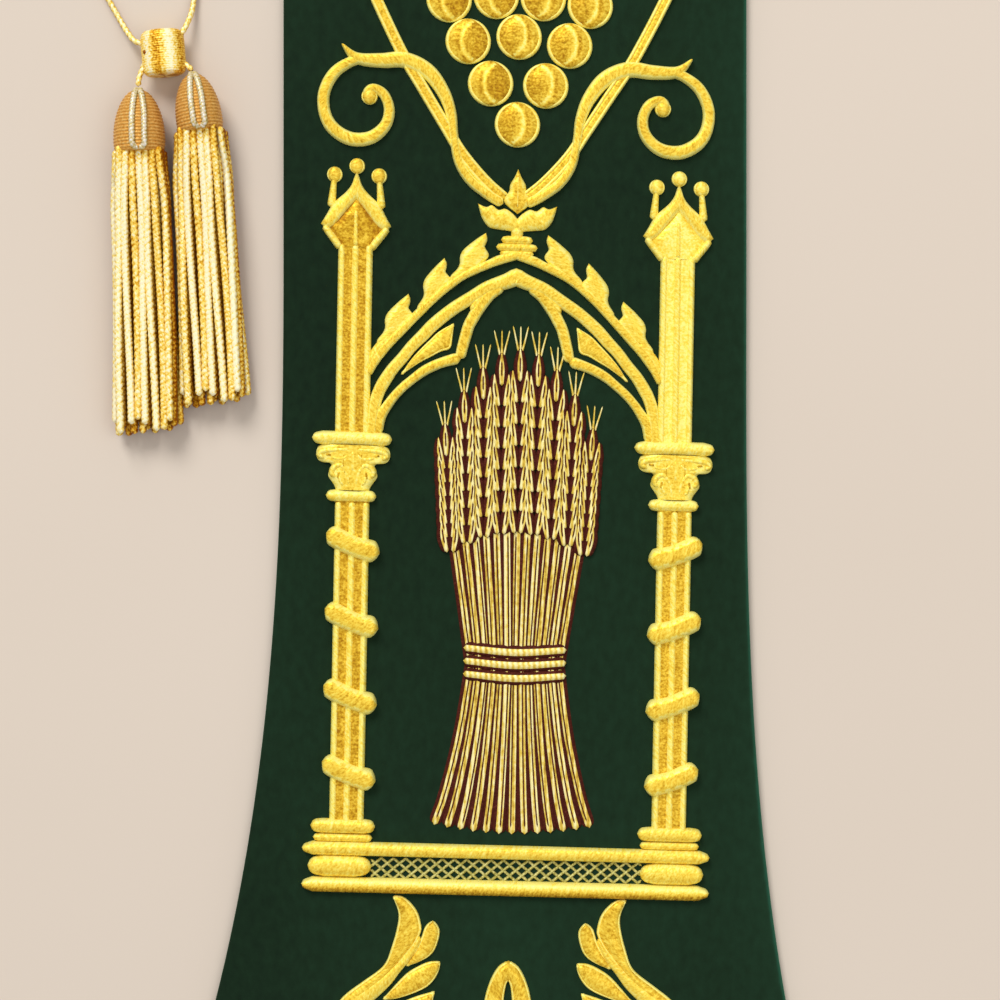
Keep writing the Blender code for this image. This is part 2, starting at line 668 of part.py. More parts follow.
def skirt_strands(skirt):
    """Each strand's points in the tassel's own frame: the head's foot at y = 0, z up, in mm."""
    strands = []
    for layer, (count, root_z, lying_z) in enumerate(SKIRT_LAYERS):
        stagger = 0.12 if layer % 2 else -0.12
        for n in range(count):
            across = n - (count - 1) / 2 + stagger
            uneven = HEM_UNEVEN * math.sin(5.1 * n + 2.3 * layer)
            length = skirt + uneven - HEM_SLOPE * across
            points = []
            for t in STRAND_STEPS:
                spread = smooth_step(t / STRAND_STEPS[2])
                pitch = ROOT_PITCH + (SPREAD_PITCH - ROOT_PITCH) * spread
                pitch += (HEM_PITCH - SPREAD_PITCH) * t * t
                wave = 0.22 * math.sin(5.5 * t + 0.7 * layer + 0.35 * n) * t
                height = root_z + (lying_z - root_z) * smooth_step(2 * t)
                points.append(Vector((across * pitch + wave, STRAND_ROOT - length * t, height)))
            strands.append(points)
    return strands


def tassel_place(x, y, degrees):
    return Matrix.Translation(tie_point(x, y, 0.0)) @ Matrix.Rotation(math.radians(degrees), 4, "Z")


def make_tassel(name, x, y, head_lean, skirt_lean, width, head, skirt, parts, helpers, gold):
    """The wound head and its strands, which part below it, in one solid."""
    roots = collection(f"{name}_strands")
    bpy.context.scene.collection.children.unlink(roots)
    helpers.children.link(roots)
    for points in skirt_strands(skirt):
        strand = tube("strand", [point * MM for point in points], STRAND_SIZE * MM, 0)
        strand = as_mesh(strand, roots)
        strand.matrix_world = tassel_place(x, y, skirt_lean)
        strand.hide_render = True
        strand.display_type = "WIRE"
    profile = [(radius * MM, height * head / HEAD_LENGTH * MM) for radius, height in HEAD_PROFILE]
    obj = lathe(name, profile, parts)
    radius = max(row[0] for row in HEAD_PROFILE) * MM * TASSEL_FLATTENING
    lift = Matrix.Translation((0.0, 0.0, radius + SEAM_GAP))
    obj.data.transform(lift @ Matrix.Diagonal((width, 1.0, TASSEL_FLATTENING, 1.0)))
    obj.matrix_world = tassel_place(x, y, head_lean)
    union = obj.modifiers.new("strands", "BOOLEAN")
    union.operation = "UNION"
    union.operand_type = "COLLECTION"
    union.collection = roots
    obj.data.materials.append(gold)


def make_tie(parts, helpers, gold):
    make_cord("cord_right", 1, RIGHT_CORD, parts, gold)
    make_cord("cord_left", -1, LEFT_CORD, parts, gold)
    make_slider(parts, gold)
    for name, route in DROPS:
        points = smooth([tie_point(*row) for row in route], 2)
        drop = as_mesh(tube(name, points, CORD_SIZE, 2), parts)
        drop.data.materials.append(gold)
    for row in TASSELS:
        make_tassel(*row, parts, helpers, gold)


def main():
    clear_scene()
    parts = collection("clerical_stole")
    forms = collection("embroidery_forms")
    helpers = collection("tassel_helpers")
    velvet = material("green_velvet", (0.012, 0.040, 0.022), 0.95, 0.0)
    gold = material("gold_cord", (0.80, 0.56, 0.18), 0.45, 0.35)
    make_halves(parts, forms, velvet)
    make_tie(parts, helpers, gold)


main()
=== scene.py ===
"""Dresses the clerical stole's frame: velvet, raised gold embroidery, the tie with its slider and
tassels, and a plain studio seen from straight above.

Lengths in the tables are in millimetres. Embroidery is drawn in the panel's own frame, u across
from the panel's axis and v up from the middle of the lowest rail, and the tie over its own datum.
The scene's world is in metres.
"""

import math

import bpy
import numpy as np
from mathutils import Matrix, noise


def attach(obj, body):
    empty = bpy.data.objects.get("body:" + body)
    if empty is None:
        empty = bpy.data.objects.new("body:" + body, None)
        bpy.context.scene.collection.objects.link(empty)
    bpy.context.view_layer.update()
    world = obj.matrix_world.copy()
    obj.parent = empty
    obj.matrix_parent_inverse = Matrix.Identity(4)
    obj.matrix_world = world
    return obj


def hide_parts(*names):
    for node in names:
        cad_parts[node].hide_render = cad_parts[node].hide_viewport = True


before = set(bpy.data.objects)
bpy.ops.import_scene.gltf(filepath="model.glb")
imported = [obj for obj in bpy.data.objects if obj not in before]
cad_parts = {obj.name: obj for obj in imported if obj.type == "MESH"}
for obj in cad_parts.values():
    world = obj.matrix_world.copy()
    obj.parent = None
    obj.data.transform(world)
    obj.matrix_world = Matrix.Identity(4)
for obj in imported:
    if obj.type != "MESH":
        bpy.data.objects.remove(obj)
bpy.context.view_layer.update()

MM = 0.001

# Cloth, as in the part.
WALL = 3.0
SEAM_GAP = 0.3
BAND_WIDTH = 125.3
NECK_BAND_WIDTH = 105.0
NECK_RADIUS = 130.0
HEM_TO_NECK = 1060.0
STRAIGHT_CENTRE_X = 120.15
NARROWING_FROM_HEM = 360.0
FLARE_LENGTH = 283.5
FLARE_CURVED = 202.5
FLARE_CUBIC = 3.48e-6
FLARE_INWARD = 0.0945e-3
TOTAL_LENGTH = HEM_TO_NECK + NECK_RADIUS + NECK_BAND_WIDTH / 2
HEM_Y = -TOTAL_LENGTH / 2
NECK_Y = HEM_Y + HEM_TO_NECK
FLARE_Y = HEM_Y + FLARE_LENGTH

# Velvet: how its edges roll and how finely it is meshed.
EDGE_ROLL = 1.45
EDGE_STEPS = (0.0, 0.12, 0.42, 0.85, 1.45)
CLOTH_STEP = 5.0
# A painted sheen towards the pile's outer edge and a painted highlight line along it, as where light
# catches the rolled edge:
EDGE_PAINTED_SHEEN = 7.0  # how far in from its outer edge the pile looks lighter
EDGE_PAINTED_GLINT = 0.8  # width of the light line along that edge
PUCKER = 0.16  # of the pile's surface
PUCKER_FROM_EDGE = 6.0
PUCKER_SCALE = 0.035

# Panel frame of the embroidery.
PANEL_AXIS_X = 117.45
PANEL_BASE_Y = HEM_Y + 111.0
PANEL_LEAN = 0.0185
ROW_DROP = 0.018
ROW_DROP_GAIN = 0.000118
STITCH_SINK = 0.35  # edges of the stitching go this far into the pile
NO_CREASE = 9.0
THREAD_PATTERNS = 97  # beds of thread before their noise repeats
RIPPLE_PITCH = 1.9  # of the soft ridges across padded satin
# Painted light and shade on the ripples: their crests lighter and the dips between them darker, by this
# much.
RIPPLE_PAINTED_LIGHT = 1.6  # how much their height changes the tone
RIM_FROM = 0.50  # where, from a pad's middle to its edge, the brighter rim starts
RIM_EASE = 0.20
RIM_UNEVEN = 0.07
RIM_WAVE = 2.3  # of its uneven line, in radians for each mm
# Painted light and shade across a pad: its fall lightens one side and darkens the other, as if lit from
# above, this sharply.
PAINTED_SHADE_SLOPE = 2.5  # how fast, across a pad, its tone falls from one side to the other
END_SHARE = 0.06  # of its width that a stroke keeps at its round ends
LEAST_REACH = 0.3  # of those ends
TIP_FROM = 0.45  # share of its full width under which a form gets lower
EDGE_INSET = 0.4  # how far inside a form's edge its cord runs, as a share of the cord
EDGE_RISE = 0.62  # height of the cord, as a share of the form's
FORM_ROWS = 40

COLUMN_U = 43.5
COLUMN_SHIFTS = (0.35, 0.0)  # of the lower and the upper shaft
WINDING_SHIFT = 0.4
SHAFT_WIDTH = 9.4
SHAFT_RIB = 2.1
MIDDLE_RIB = 2.4
WINDING_HALF_U = 5.1
WINDING_HALF_V = 1.7
WINDING_THICK = 5.2
SHAFT_RIBS = (  # distance from the shaft's axis, width, tone
    (-3.65, SHAFT_RIB, 0.90), (0.0, MIDDLE_RIB, 0.84), (3.65, SHAFT_RIB, 0.90),
)
# The upper right shaft's bright tone is painted light, as if lit from the right; the lower shafts keep
# their own tones.
COLUMN_PAINTED_LIGHT_TONES = ((-1, (0.30, 0.30)), (1, (0.37, 0.88)))  # side, of the lower and the upper shaft

# How each form is worked. Tones run from 0, deep, to 1, bright; a rim is brighter by its number;
# power is how full a pad is, slant leans its threads, and across counts its points.
FULL = {"step": 0.55, "power": 3.6, "across": 13}
STYLES = {
    "edge_cord": dict(tone=0.97, step=0.55, slant=0.9, across=5),
    "bar": dict(step=0.5, slant=0.35, power=3.0, across=13, ripple=0.025),
    "shaft": dict(height=1.0, power=6.0, across=7),
    "shaft_rib": dict(height=1.6, slant=0.8, across=7, ripple=0.03),
    "winding": dict(
        height=3.1, tone=0.55, rim=0.50, step=0.5, slant=0.5, power=3.6, across=15, ripple=0.02,
    ),
    "capital": dict(height=1.8, tone=0.62, rim=0.34),
    # A dark stroke of painted shade in a hollow.
    "painted_hollow_shade": dict(height=1.854, tone=0.30, step=0.5, across=7),
    "volute": dict(height=1.944, tone=0.82, step=0.5, across=7),
    "capital_rib": dict(height=1.98, tone=0.82, across=7),
    "gable": dict(height=1.2, rim=-0.2),
    "roof": dict(height=1.725, tone=0.66, rim=0.30, slant=0.4),
    "eave": dict(height=1.65, tone=0.84, slant=0.4, power=2.6),
    "ridge": dict(height=1.65, tone=0.80, slant=0.8, across=7, ripple=0.03),
    "pin": dict(height=1.2, tone=0.78, across=7),
    "arch_band": dict(height=1.7, tone=0.60, rim=0.40, slant=0.4, ripple=0.015, **FULL),
    "cusp": dict(height=1.5, tone=0.52, rim=0.48, slant=0.4, **FULL),
    "arch_patch": dict(height=1.425, tone=0.70, slant=0.4, power=3.6),
    "spandrel_leaf": dict(height=1.2, tone=0.56, edge=0.8),
    "crocket": dict(height=1.4, tone=0.66, rim=0.32, slant=0.5),
    "finial_cup": dict(height=1.5, tone=0.64, rim=0.30),
    "cup_stem": dict(height=1.575, tone=0.78),
    "finial_flame": dict(height=1.9, tone=0.46, rim=0.46),
    "flame_rib": dict(height=2.052, tone=0.9, across=5),
    "stalk": dict(height=1.5, tone=0.7),
    "stem": dict(height=1.2, tone=0.5, across=7),
    "scroll": dict(height=2.0, tone=0.56, rim=0.56, ripple=0.015, **FULL),
    "tendril": dict(height=1.9, tone=0.54, rim=0.56, ripple=0.015, **FULL),
    "leaf": dict(height=1.5, tone=0.50, edge=1.0),
    "leaf_rib": dict(height=1.68, tone=0.68, rim=0.24, slant=0.6, across=13),
    "palmette_stem": dict(height=1.7, tone=0.60, rim=0.30, slant=0.6, across=13),
    "almond": dict(height=1.7, tone=0.50, edge=1.0),
    "lattice": dict(tone=0.64, step=0.5, across=5),
    "strand": dict(sides=9, step=0.42, groove=0.20, shaded=9.0, painted_flank_shade=0.65),
}

# v, distance of the middle from the axis, half length, thickness, height, end width share, how
# much painted shade darkens the bar's lower side, with painted light on its upper side, and its tone.
CROSS_BARS = (
    (0.0, 0.0, 55.0, 4.2, 2.4, 0.45, 0.38, 0.66),
    (9.7, 0.0, 55.0, 3.8, 2.4, 0.45, 0.06, 0.66),
    (5.0, 44.8, 8.6, 5.9, 2.7, 0.70, 0.08, 0.66),
    (12.6, 44.1, 8.0, 2.2, 1.6, 0.80, 0.06, 0.66),
    (15.7, 44.1, 8.7, 4.0, 2.2, 0.80, 0.08, 0.66),
    (104.8, 43.5, 6.8, 3.3, 2.2, 0.80, 0.08, 0.86),
    (120.2, 43.5, 10.8, 3.9, 2.4, 0.65, 0.08, 0.86),
    (171.5, 0.0, 4.6, 1.8, 1.4, 0.70, 0.0, 0.66),
    (173.1, 0.0, 5.6, 2.2, 1.8, 0.70, 0.0, 0.66),
    (175.1, 0.0, 4.3, 2.3, 1.8, 0.70, 0.0, 0.66),
)
BAR_RIM = 0.26
BASE_TOP = 20.0  # the bars below this tilt a little, and rise
BASE_TILT = 0.007
BASE_RISE = 0.15
SHAFTS = ((16, 103.5), (121, 172.5))
WINDING_V = (30.2, 50.6, 71.2, 91.5)
# One winding from its outer end to its inner one: place, how far it bends up, thickness share.
WINDING_LINE = (
    (-1.42, 0.75, 0.75), (-1.15, 0.75, 1.05), (-0.7, 0.35, 1.14), (0, -0.05, 1.10), (0.6, 0.05, 1.15),
    (1.05, 0.25, 1.15), (1.42, 0.50, 0.75),
)

# Outlines are rows of u and v; strokes are rows of u, v and width.
CAPITAL = (
    (8.4, 118.4), (9.6, 117.9), (10.1, 116.8), (10.2, 115.6), (9.6, 114.2), (8.2, 113.6), (6.5, 113.5),
    (5.9, 112.7), (6.5, 111.4), (6.8, 110.1), (6, 108.8), (5, 107.4), (4.6, 106.3),
)
CAPITAL_RIB = ((0, 117.4, 2.6), (0, 111, 2))
CAPITAL_STROKES = (
    ((0.8, 117.2, 1.9), (4.8, 117, 2.1), (8.2, 116.6, 2.1), (9.2, 115.5, 1.8), (7.5, 114.9, 1.8)),
    (
        (0.9, 107.6, 1.7), (1.6, 110.8, 2.1), (3.2, 113, 2.3), (5.1, 112.2, 2),
        (5.6, 110.6, 1.8), (4.4, 109.8, 1.4),
    ),
    ((1.2, 116.2, 1.2), (2.2, 114.9, 1.7), (4.2, 114.7, 1.7), (6, 115.2, 1.2)),
    ((2.3, 107.4, 1.2), (3.3, 108.8, 1.5), (3.5, 110.4, 1)),
)
# Dark strokes of painted shade, where the capital's hollows are shaded.
CAPITAL_PAINTED_SHADE_STROKES = (
    ((2.3, 116.6, 1.5), (2.5, 113.4, 1.7), (1.9, 110.4, 1.2)),
    ((5.4, 115.5, 1.1), (7.6, 115.8, 1)),
    ((3.6, 111.6, 1.2), (3.9, 109, 1.2)),
)
ROOF_OUTER = ((0, 192.2), (0.7, 190.4), (1.4, 188.4), (2.9, 186.4), (6.2, 183.3), (8.1, 180), (9.5, 177.5))
ROOF_INNER = ((0, 184.2), (1.8, 182.2), (3.5, 180), (5, 177.9), (6.4, 176.7), (8, 176.3), (9.5, 177.5))
GABLE = ((0, 185), (3.4, 181), (7, 178), (8.4, 176.6), (6.9, 174.4), (5, 171.6))
GABLE_EDGE = ((8.7, 177.3, 1.8), (7.3, 175.4, 2.1), (5.6, 173.3, 2.2), (3.9, 170.9, 2.1))
CUP_TOP = ((0, 181), (1.3, 182.4), (3.3, 183.6), (5.1, 183.2), (6.9, 184.4), (8.4, 183.8), (10.7, 184.6))
CUP_FOOT = (
    (0, 176.9), (2.2, 177.5), (5.1, 177.8), (7.6, 178.3), (9.3, 180.2), (10.1, 182.2), (10.7, 184.6),
)
CUP_STEM = ((0, 179, 3), (0, 177, 3.4), (0, 175.2, 5.2))
FINIAL_FLAME = (
    (0, 194.3), (1, 192.1), (2.15, 190.1), (2.4, 188.2), (3.6, 186.8), (3.7, 185.2), (2.1, 183.7),
    (0, 182.2),
)
FLAME_RIB = ((0, 192.6, 0.8), (0, 183.2, 1.3))
RIDGE = ((0, 181.8, 1.4), (0, 171.5, 2))
BALLS = ((0, 193.4), (-6, 190.9), (6, 190.9))
BALL = (4.1, 1.6, 0.9)  # size, height, width of its rim
PIN_DROP = 9.0
PIN_SPREAD = 1.13
PIN_WIDTHS = (1.35, 2.53)

# Pointed arch, one side. The cusp and its arc meet in a corner.
OUTER_BAND = (
    (0, 171, 2.3), (4.5, 169.7, 2.6), (7.2, 168.5, 2.3), (12.5, 166, 2.2), (16, 163.8, 2.1),
    (21.3, 159.4, 2.2), (26.6, 154.1, 2.4), (31.1, 149.3, 2.5), (34.2, 146, 2.6), (36.4, 143.2, 2.6),
    (38, 140.6, 2.2), (39.4, 137.4, 1.6),
)
INNER_BAND = (
    (0, 165.2, 4.8), (2.5, 164, 4.3), (6, 162.7, 3.9), (8.4, 161.6, 3.7), (11.7, 159.4, 3.6),
    (16.9, 156, 3.5), (21.9, 151.8, 3.5), (24.8, 148.7, 3.4), (27.8, 145.6, 3.2), (30.2, 142.5, 3.2),
    (32.9, 139.3, 3.3), (34.9, 136.2, 3.5), (36.3, 133.6, 3.4), (37.4, 130.2, 3.3), (37.9, 126.5, 3),
    (38.5, 120.8, 3.2),
)
CUSP = (
    (3.6, 162.6, 2.8), (5.1, 161.6, 3), (7.1, 160.2, 3.3), (8.9, 157.9, 3.3), (10.4, 155.7, 3.3),
    (11.5, 153.7, 3.3), (12.5, 151.8, 3.2), (13.1, 149.9, 3.2), (13.8, 147.2, 3.1), (14.4, 144.7, 3),
    (14.8, 142.5, 2.9),
)
CUSP_ARC = (
    (14.6, 142.6, 2.9), (16.2, 142.5, 3.1), (19.7, 141.4, 2.8), (22.4, 140.2, 2.8), (24.8, 138.8, 2.7),
    (27.2, 136.9, 2.5), (29.9, 134.6, 2.5), (32.3, 132, 2.5), (34.3, 129.2, 2.7), (35.8, 126.8, 3.1),
    (36.4, 124.6, 3.1), (36.8, 121.6, 3),
)
# Patches where the two bands meet over the capital, and where the cusp leaves the inner band.
ARCH_FOOT = ((33.4, 148.6, 2), (35.8, 145.6, 3.2), (37.8, 142.8, 3.2), (39.4, 139.8, 2.4))
CUSP_WEDGE = ((7.6, 161.2, 2.4), (10.2, 158.4, 2.6), (12.2, 155.6, 1.2))
SPANDREL_TURN = 6  # the row at which this leaf's outline turns back
SPANDREL_LEAF = (
    (16.6, 152.1), (17, 148.4), (17.5, 145.4), (19.7, 144.6), (22.4, 143.1), (25.6, 141.3), (30.6, 137.8),
    (28.3, 141.5), (25.9, 144.4), (23.2, 147.2), (20.5, 149.8),
)
# Crockets: u and v of each tip and how far it is turned, then the two sides of one.
CROCKET_TIPS = ((8.4, 176.8, 10), (19.5, 169.6, 0), (29, 159.6, 5))
CROCKET_OUTER = (
    (0, 0), (1.8, -1.7), (3.7, -3.8), (5.2, -5.8), (5.7, -7.7), (5.4, -9.6), (5.8, -11.2), (7.2, -13.6),
    (6.5, -15.5),
)
CROCKET_INNER = (
    (0, 0), (-0.7, -1.4), (-0.65, -2.7), (-0.5, -3.9), (-1.8, -5.3), (-1.8, -6.7), (0.5, -9.8),
    (3.5, -13), (6, -15.6),
)

# Grape rows: v, how many, spacing, and how much higher the middle of the row sits.
GRAPE_ROWS = ((206.3, 1, 0, 0), (217.1, 2, 14.9, 0), (228.2, 3, 13.7, 1.8), (239.2, 4, 12.7, 2.2))

GRAPE_SIZE = 12.0
GRAPE_RISE = 2.3
GRAPE_EDGE = 1.35
# A grape's pad, in shares of its radius: how far aside it lies, its size and how it is squeezed.
PAD_SHIFT = 0.34
PAD_SIZE = 0.64
PAD_SQUEEZE = 0.76
PAD_CREASE_FROM = -0.3  # the crease is left open on the side where the pad meets the rim
# By the pad's side: its tone in the middle, its slope to the right, which is painted light, from where, and
# the tone round it.
GRAPE_PAINTED_LIGHT = {1: (0.41, 0.50, -0.2, 0.48), -1: (0.29, -0.12, -1.0, 0.48)}
PAD_TONE_RANGE = (0.16, 0.75)
# A ring of painted shade round the pad, where a groove would be shaded:
HOLLOW_AT = 1.20
HOLLOW_WIDTH = 0.09
HOLLOW_PAINTED_SHADE = 0.30

VINE_SHIFT = -0.9
STEM_CORDS_APART = 2.2
STEM_CORD = (1.5, 1.1)  # height, width
SCROLL_SLANT = 0.6
TENDRIL_BALL = (39.6, 212.2, 4.3, 2.09, 0.8)  # u, v, size, height, width of its rim
VINE_STEM = (
    (1.5, 262, 2.4), (8, 269, 2.7), (20, 273, 2.7), (34, 269.5, 2.7), (42.5, 260, 2.7), (42.5, 249, 2.7),
    (38.9, 240, 2.6), (31.4, 225, 2.6), (25.2, 215, 2.7), (18.9, 205, 2.8), (14.4, 198, 2.8),
    (8, 190.8, 2.8), (2.6, 186.2, 2.6),
)
VINE_SCROLL = (
    (47.4, 226, 0.5), (43.2, 222.4, 3), (36.6, 222, 4), (30.2, 222.4, 4.4), (24, 219.6, 4.4),
    (19.7, 214.2, 3.7), (17.5, 208.5, 3), (16.7, 203, 2.5), (15.3, 196, 2.6), (12.2, 191, 2.8),
    (7.6, 187.4, 2.8), (3, 184.8, 2.8),
)
TENDRIL = (
    (40.5, 222.3, 2.2), (45, 221.2, 2.8), (49.4, 217.9, 3.2), (51.9, 212.5, 3.3), (51.5, 207, 3.4),
    (49, 203, 3.7), (44.3, 200.6, 3.8), (39, 201.2, 3.6), (35.2, 204.6, 3.2), (34.2, 209, 3),
    (35.8, 213, 2.8), (38.9, 214.4, 2.6), (40.6, 211.9, 3.6),
)
STALK = ((0, 265, 3.4), (0, 256, 2.8), (0, 246, 2.2))

# Leaves: where the outline turns back, whether it ends in a point there, and the outline.
PALMETTE_SHIFT = 1.3
LEAVES = (
    (8, False, (
        (31.5, -2.5), (29.8, -7.3), (30.4, -12.1), (31.8, -17), (32.8, -20), (34.6, -22.4),
        (39.4, -25.8), (44, -29.3), (47, -33), (44, -38), (36.2, -29), (33, -24.8),
        (30.3, -21.2), (28, -18.3), (25.3, -15), (23.8, -11.7), (23.8, -10.1), (24.7, -6.9),
        (26.6, -4.3), (29.1, -2.5),
    )),
    (3, True, (
        (20.6, -8.9), (22.6, -10.6), (23.9, -14.2), (27.6, -21.2), (23.9, -19.8), (20.9, -17.9),
        (19.4, -15.2), (18.8, -11.4),
    )),
    (4, True, (
        (18.5, -19.9), (21.7, -20.1), (25.5, -21.9), (28.4, -24.2), (33.7, -30.2), (30.4, -30),
        (25.9, -28.6), (22.1, -26.8), (20, -24.7), (18.8, -22.2),
    )),
    (3, True, (
        (19.8, -27.9), (25.8, -29.8), (33, -33.2), (41, -38.4), (30, -38), (22, -34.8),
    )),
)
# The bright rib that starts in the upper leaf and runs into the stem.
LEAF_RIB = (
    (24, -13.1, 1), (25.6, -16.3, 1.8), (27.7, -19.3, 2.2), (30.1, -21.8, 2.8), (33, -24.8, 4),
    (36.7, -27.8, 5), (41.2, -31.4, 5.4), (44.8, -35.6, 4.6),
)
PALMETTE_STEM = (
    (44, -34, 4.4), (49, -43, 4.4), (48, -54, 4), (40, -65, 3.7), (27, -73, 3.4), (12, -77, 3),
    (0, -81, 1.6),
)
ALMOND_OUTER = (
    (0, -19.3), (2.4, -20.8), (4.4, -24), (5.9, -28.4), (6.5, -33), (6.3, -39), (4.4, -46.5), (0, -53),
)
ALMOND_INNER = (
    (0, -24.6), (0.7, -25.6), (1.1, -28), (1.3, -32), (1.3, -37), (0.9, -42), (0.4, -45), (0, -46.4),
)

# Lattice between the two lowest rails.
LATTICE_U = (-36.6, 37.2)
LATTICE_V = (2.0, 7.9)
LATTICE_PITCH = 3.3
LATTICE_SLOPE = 1.2
LATTICE_THREAD = 0.85

# Stitched sheaf of wheat in the niche, all of it this work's own.
SHEAF_U = 1.5
SHEAF_STALKS = 13
STALK_WIDTH = 2.9
STALK_RISE = 0.5
# Per stalk, counted from the middle one: v and how far apart the stalks are there.
SHEAF_FAN = ((14.8, 3.5), (24, 3), (40, 2.4), (58, 1.95), (64, 1.95), (82, 2.4), (99, 2.85))
STALK_SAG = 0.12  # how much lower, per square of its place, a stalk ends
EDGING = 1.15  # how much wider than a stroke its dark edging is
CREASE_WIDTH = 0.55  # of the dark line along a stalk or a grain
WAIST_V = 60.0  # under it the stalks end higher to the sides, over it lower
TIE_V = (57.4, 60.9, 64.4)
TIE_HALF = 13.9
TIE_LINE = ((-1, 0.5, 2.6), (0, -0.5, 3), (1, 0.5, 2.6))  # share of its half, v, width
EARS = 9
EAR_FOOT_V = 96.0
EAR_LENGTH = 50.0
EAR_PITCH = (4.5, 5.0)  # between ears at their foot and at their tip
EAR_SAG = 1.3
GRAIN_PAIRS = 8
GRAIN = (9.0, 2.43)  # length, width
GRAIN_RISE = 0.62
GRAIN_LEAN = 0.13
GRAIN_AWAY = 0.8  # from the ear's axis
AWN_LENGTH = 6.0
AWN_ROOT = 3.0
AWN_SPREADS = (-0.35, 0.0, 0.35)
STITCH_ROW = 1.45

# Tie, as in the part.
CORD_SIZE = 1.5
CORD_GAP = 0.6
TIE_FROM_HEM = 586.0
TIE_DATUM_Y = HEM_Y + 351.0
SLIDER_HALF = 6.2
SLIDER_RADIUS = 5.9
SLIDER_FLATTENING = 0.72
SLIDER_LEAN = 5.0
SLIDER_SQUARENESS = 0.33
# Painted highlights and painted shade in bands down the slider, as on a lit barrel: place across, half
# width, tone.
SLIDER_PAINTED_LIGHT_BANDS = ((-0.65, 0.13, 0.42), (-0.22, 0.22, -0.34), (0.38, 0.20, 0.5), (0.86, 0.15, -0.30))
# Along a dark cord of painted shade in the slider's opening, and along the cords: x, y and height.
SLIDER_HOLE_SHADE_CORD = ((20.7, -14.2, 6.9), (20.9, -15.5, 7))
SLIDER_AT = (25.4, -14.6, 4.5)
RIGHT_CORD = (
    (30.2, -9.8, 4.6), (31.3, -7.5, 3.9), (32.6, -3.6, 2.3), (33.3, 1, 1.3), (35, 16, 0.9),
    (42.5, 50, 0.9), (49, 95, 0.9), (51.5, 145, 0.9), (54.5, 190, 0.9),
)
LEFT_CORD = (
    (20.4, -12.8, 4.6), (17.9, -11.4, 4.1), (16.4, -9.9, 3.4), (13, -4.6, 1.4), (5, 10, 0.9),
    (-10, 40, 0.9), (-27, 80, 0.9), (-42, 128, 0.9), (-51.5, 182, 0.9),
)
CORD_EXIT = (4.0, -1.0, 0.4)  # the cord's first step from the band: outwards, along and down
LEFT_DROP = ((20.6, -16.6, 4.8), (19.6, -19.6, 4.9), (19, -21.7, 5.4), (18.9, -23.8, 6.1))
RIGHT_DROP = ((29.4, -14.6, 4.7), (31, -17.2, 4.8), (32.6, -18.7, 5.4), (33.4, -19.6, 6.2))
CORDS = (("right", 1, RIGHT_CORD, RIGHT_DROP), ("left", -1, LEFT_CORD, LEFT_DROP))

TASSEL_FLATTENING = 0.86
HEAD_LENGTH = 15.6
# Name, x and y of the head's base, lean of head and skirt, share of the head's width, lengths of both.
TASSELS = (
    ("tassel_left", 19.3, -40.2, 1.3, 1.3, 0.97, 15.6, 76.0),
    ("tassel_right", 35.6, -34.6, 8.0, 2.8, 0.87, 14.4, 74.0),
)
HEAD_PROFILE = (  # radius, height over the head's base
    (6, -1.4), (7, 0), (7.1, 2.4), (6.9, 5.4), (6.2, 8.6), (5, 11.6), (3.3, 14), (1.2, 15.4),
)
# Strands of each layer, the height of their roots and the height at which they lie.
SKIRT_LAYERS = ((7, 2.9, 1.3), (8, 5.2, 3.4), (8, 7.5, 5.5), (7, 9.8, 7.6))
ROOT_PITCH = 1.72
SPREAD_PITCH = 2.0
HEM_PITCH = 2.3
SPREAD_BY = 0.22  # share of a strand's length by which it has left the head's width
STRAND_ROOT = 1.0
HEM_SLOPE = 0.25
HEM_UNEVEN = 2.0
STRAND_RADIUS = 1.12
STRAND_WAVE = 0.22
STRAND_BOW = 0.46  # how far a strand bows to either side
# Painted shade where one skirt shades the other, and on the strands under the top ones.
SKIRT_SHADOW = 0.3  # where one skirt shades the other
SKIRT_MEETS = (3.6, 5.4)  # from the skirt's axis, between which that shade comes in
SKIRT_UNDER_SHADE = 0.55  # how much deeper the strands under the top ones are toned
SKIRT_HALF = 8.5  # beyond it no strand lies under another
SHOULDER = 0.75  # how much lower, per mm outwards, a skirt's outer strands start
WRAP_PITCH = 0.88  # of the thread wound round a head
BAR_RADIUS = 0.92  # of the two silver cords over a head
BAR_AWAY = 1.7  # of each from their middle
BAR_SHIFT = 0.6
BAR_ENDS = ((1, -0.7, 6.4), (0, -1.1, 6.3))  # away from their middle, height, level

# Camera: an 85 mm lens straight above the stretch that the picture frames.
VIEW_X = 116.1
VIEW_Y = TIE_DATUM_Y - 135.0
VIEW_SPAN = 270.0
LENS = 85.0
SENSOR = 36.0

# Studio, in metres.
FLOOR_REACH = 12.0
FLOOR_Z = -0.0002
WORLD_LIGHT = ((1.0, 0.97, 0.94, 1.0), 0.54)
LIGHTS = (  # name, place, target, size, power, colour
    ("key", (-1.0, 1.9, 2.3), (0.1, -0.3, 0.0), 1.6, 80.0, (1.0, 0.98, 0.95)),
    ("fill", (0.9, -0.5, 1.5), (0.1, -0.2, 0.0), 1.2, 5.0, (1.0, 0.96, 0.92)),
)

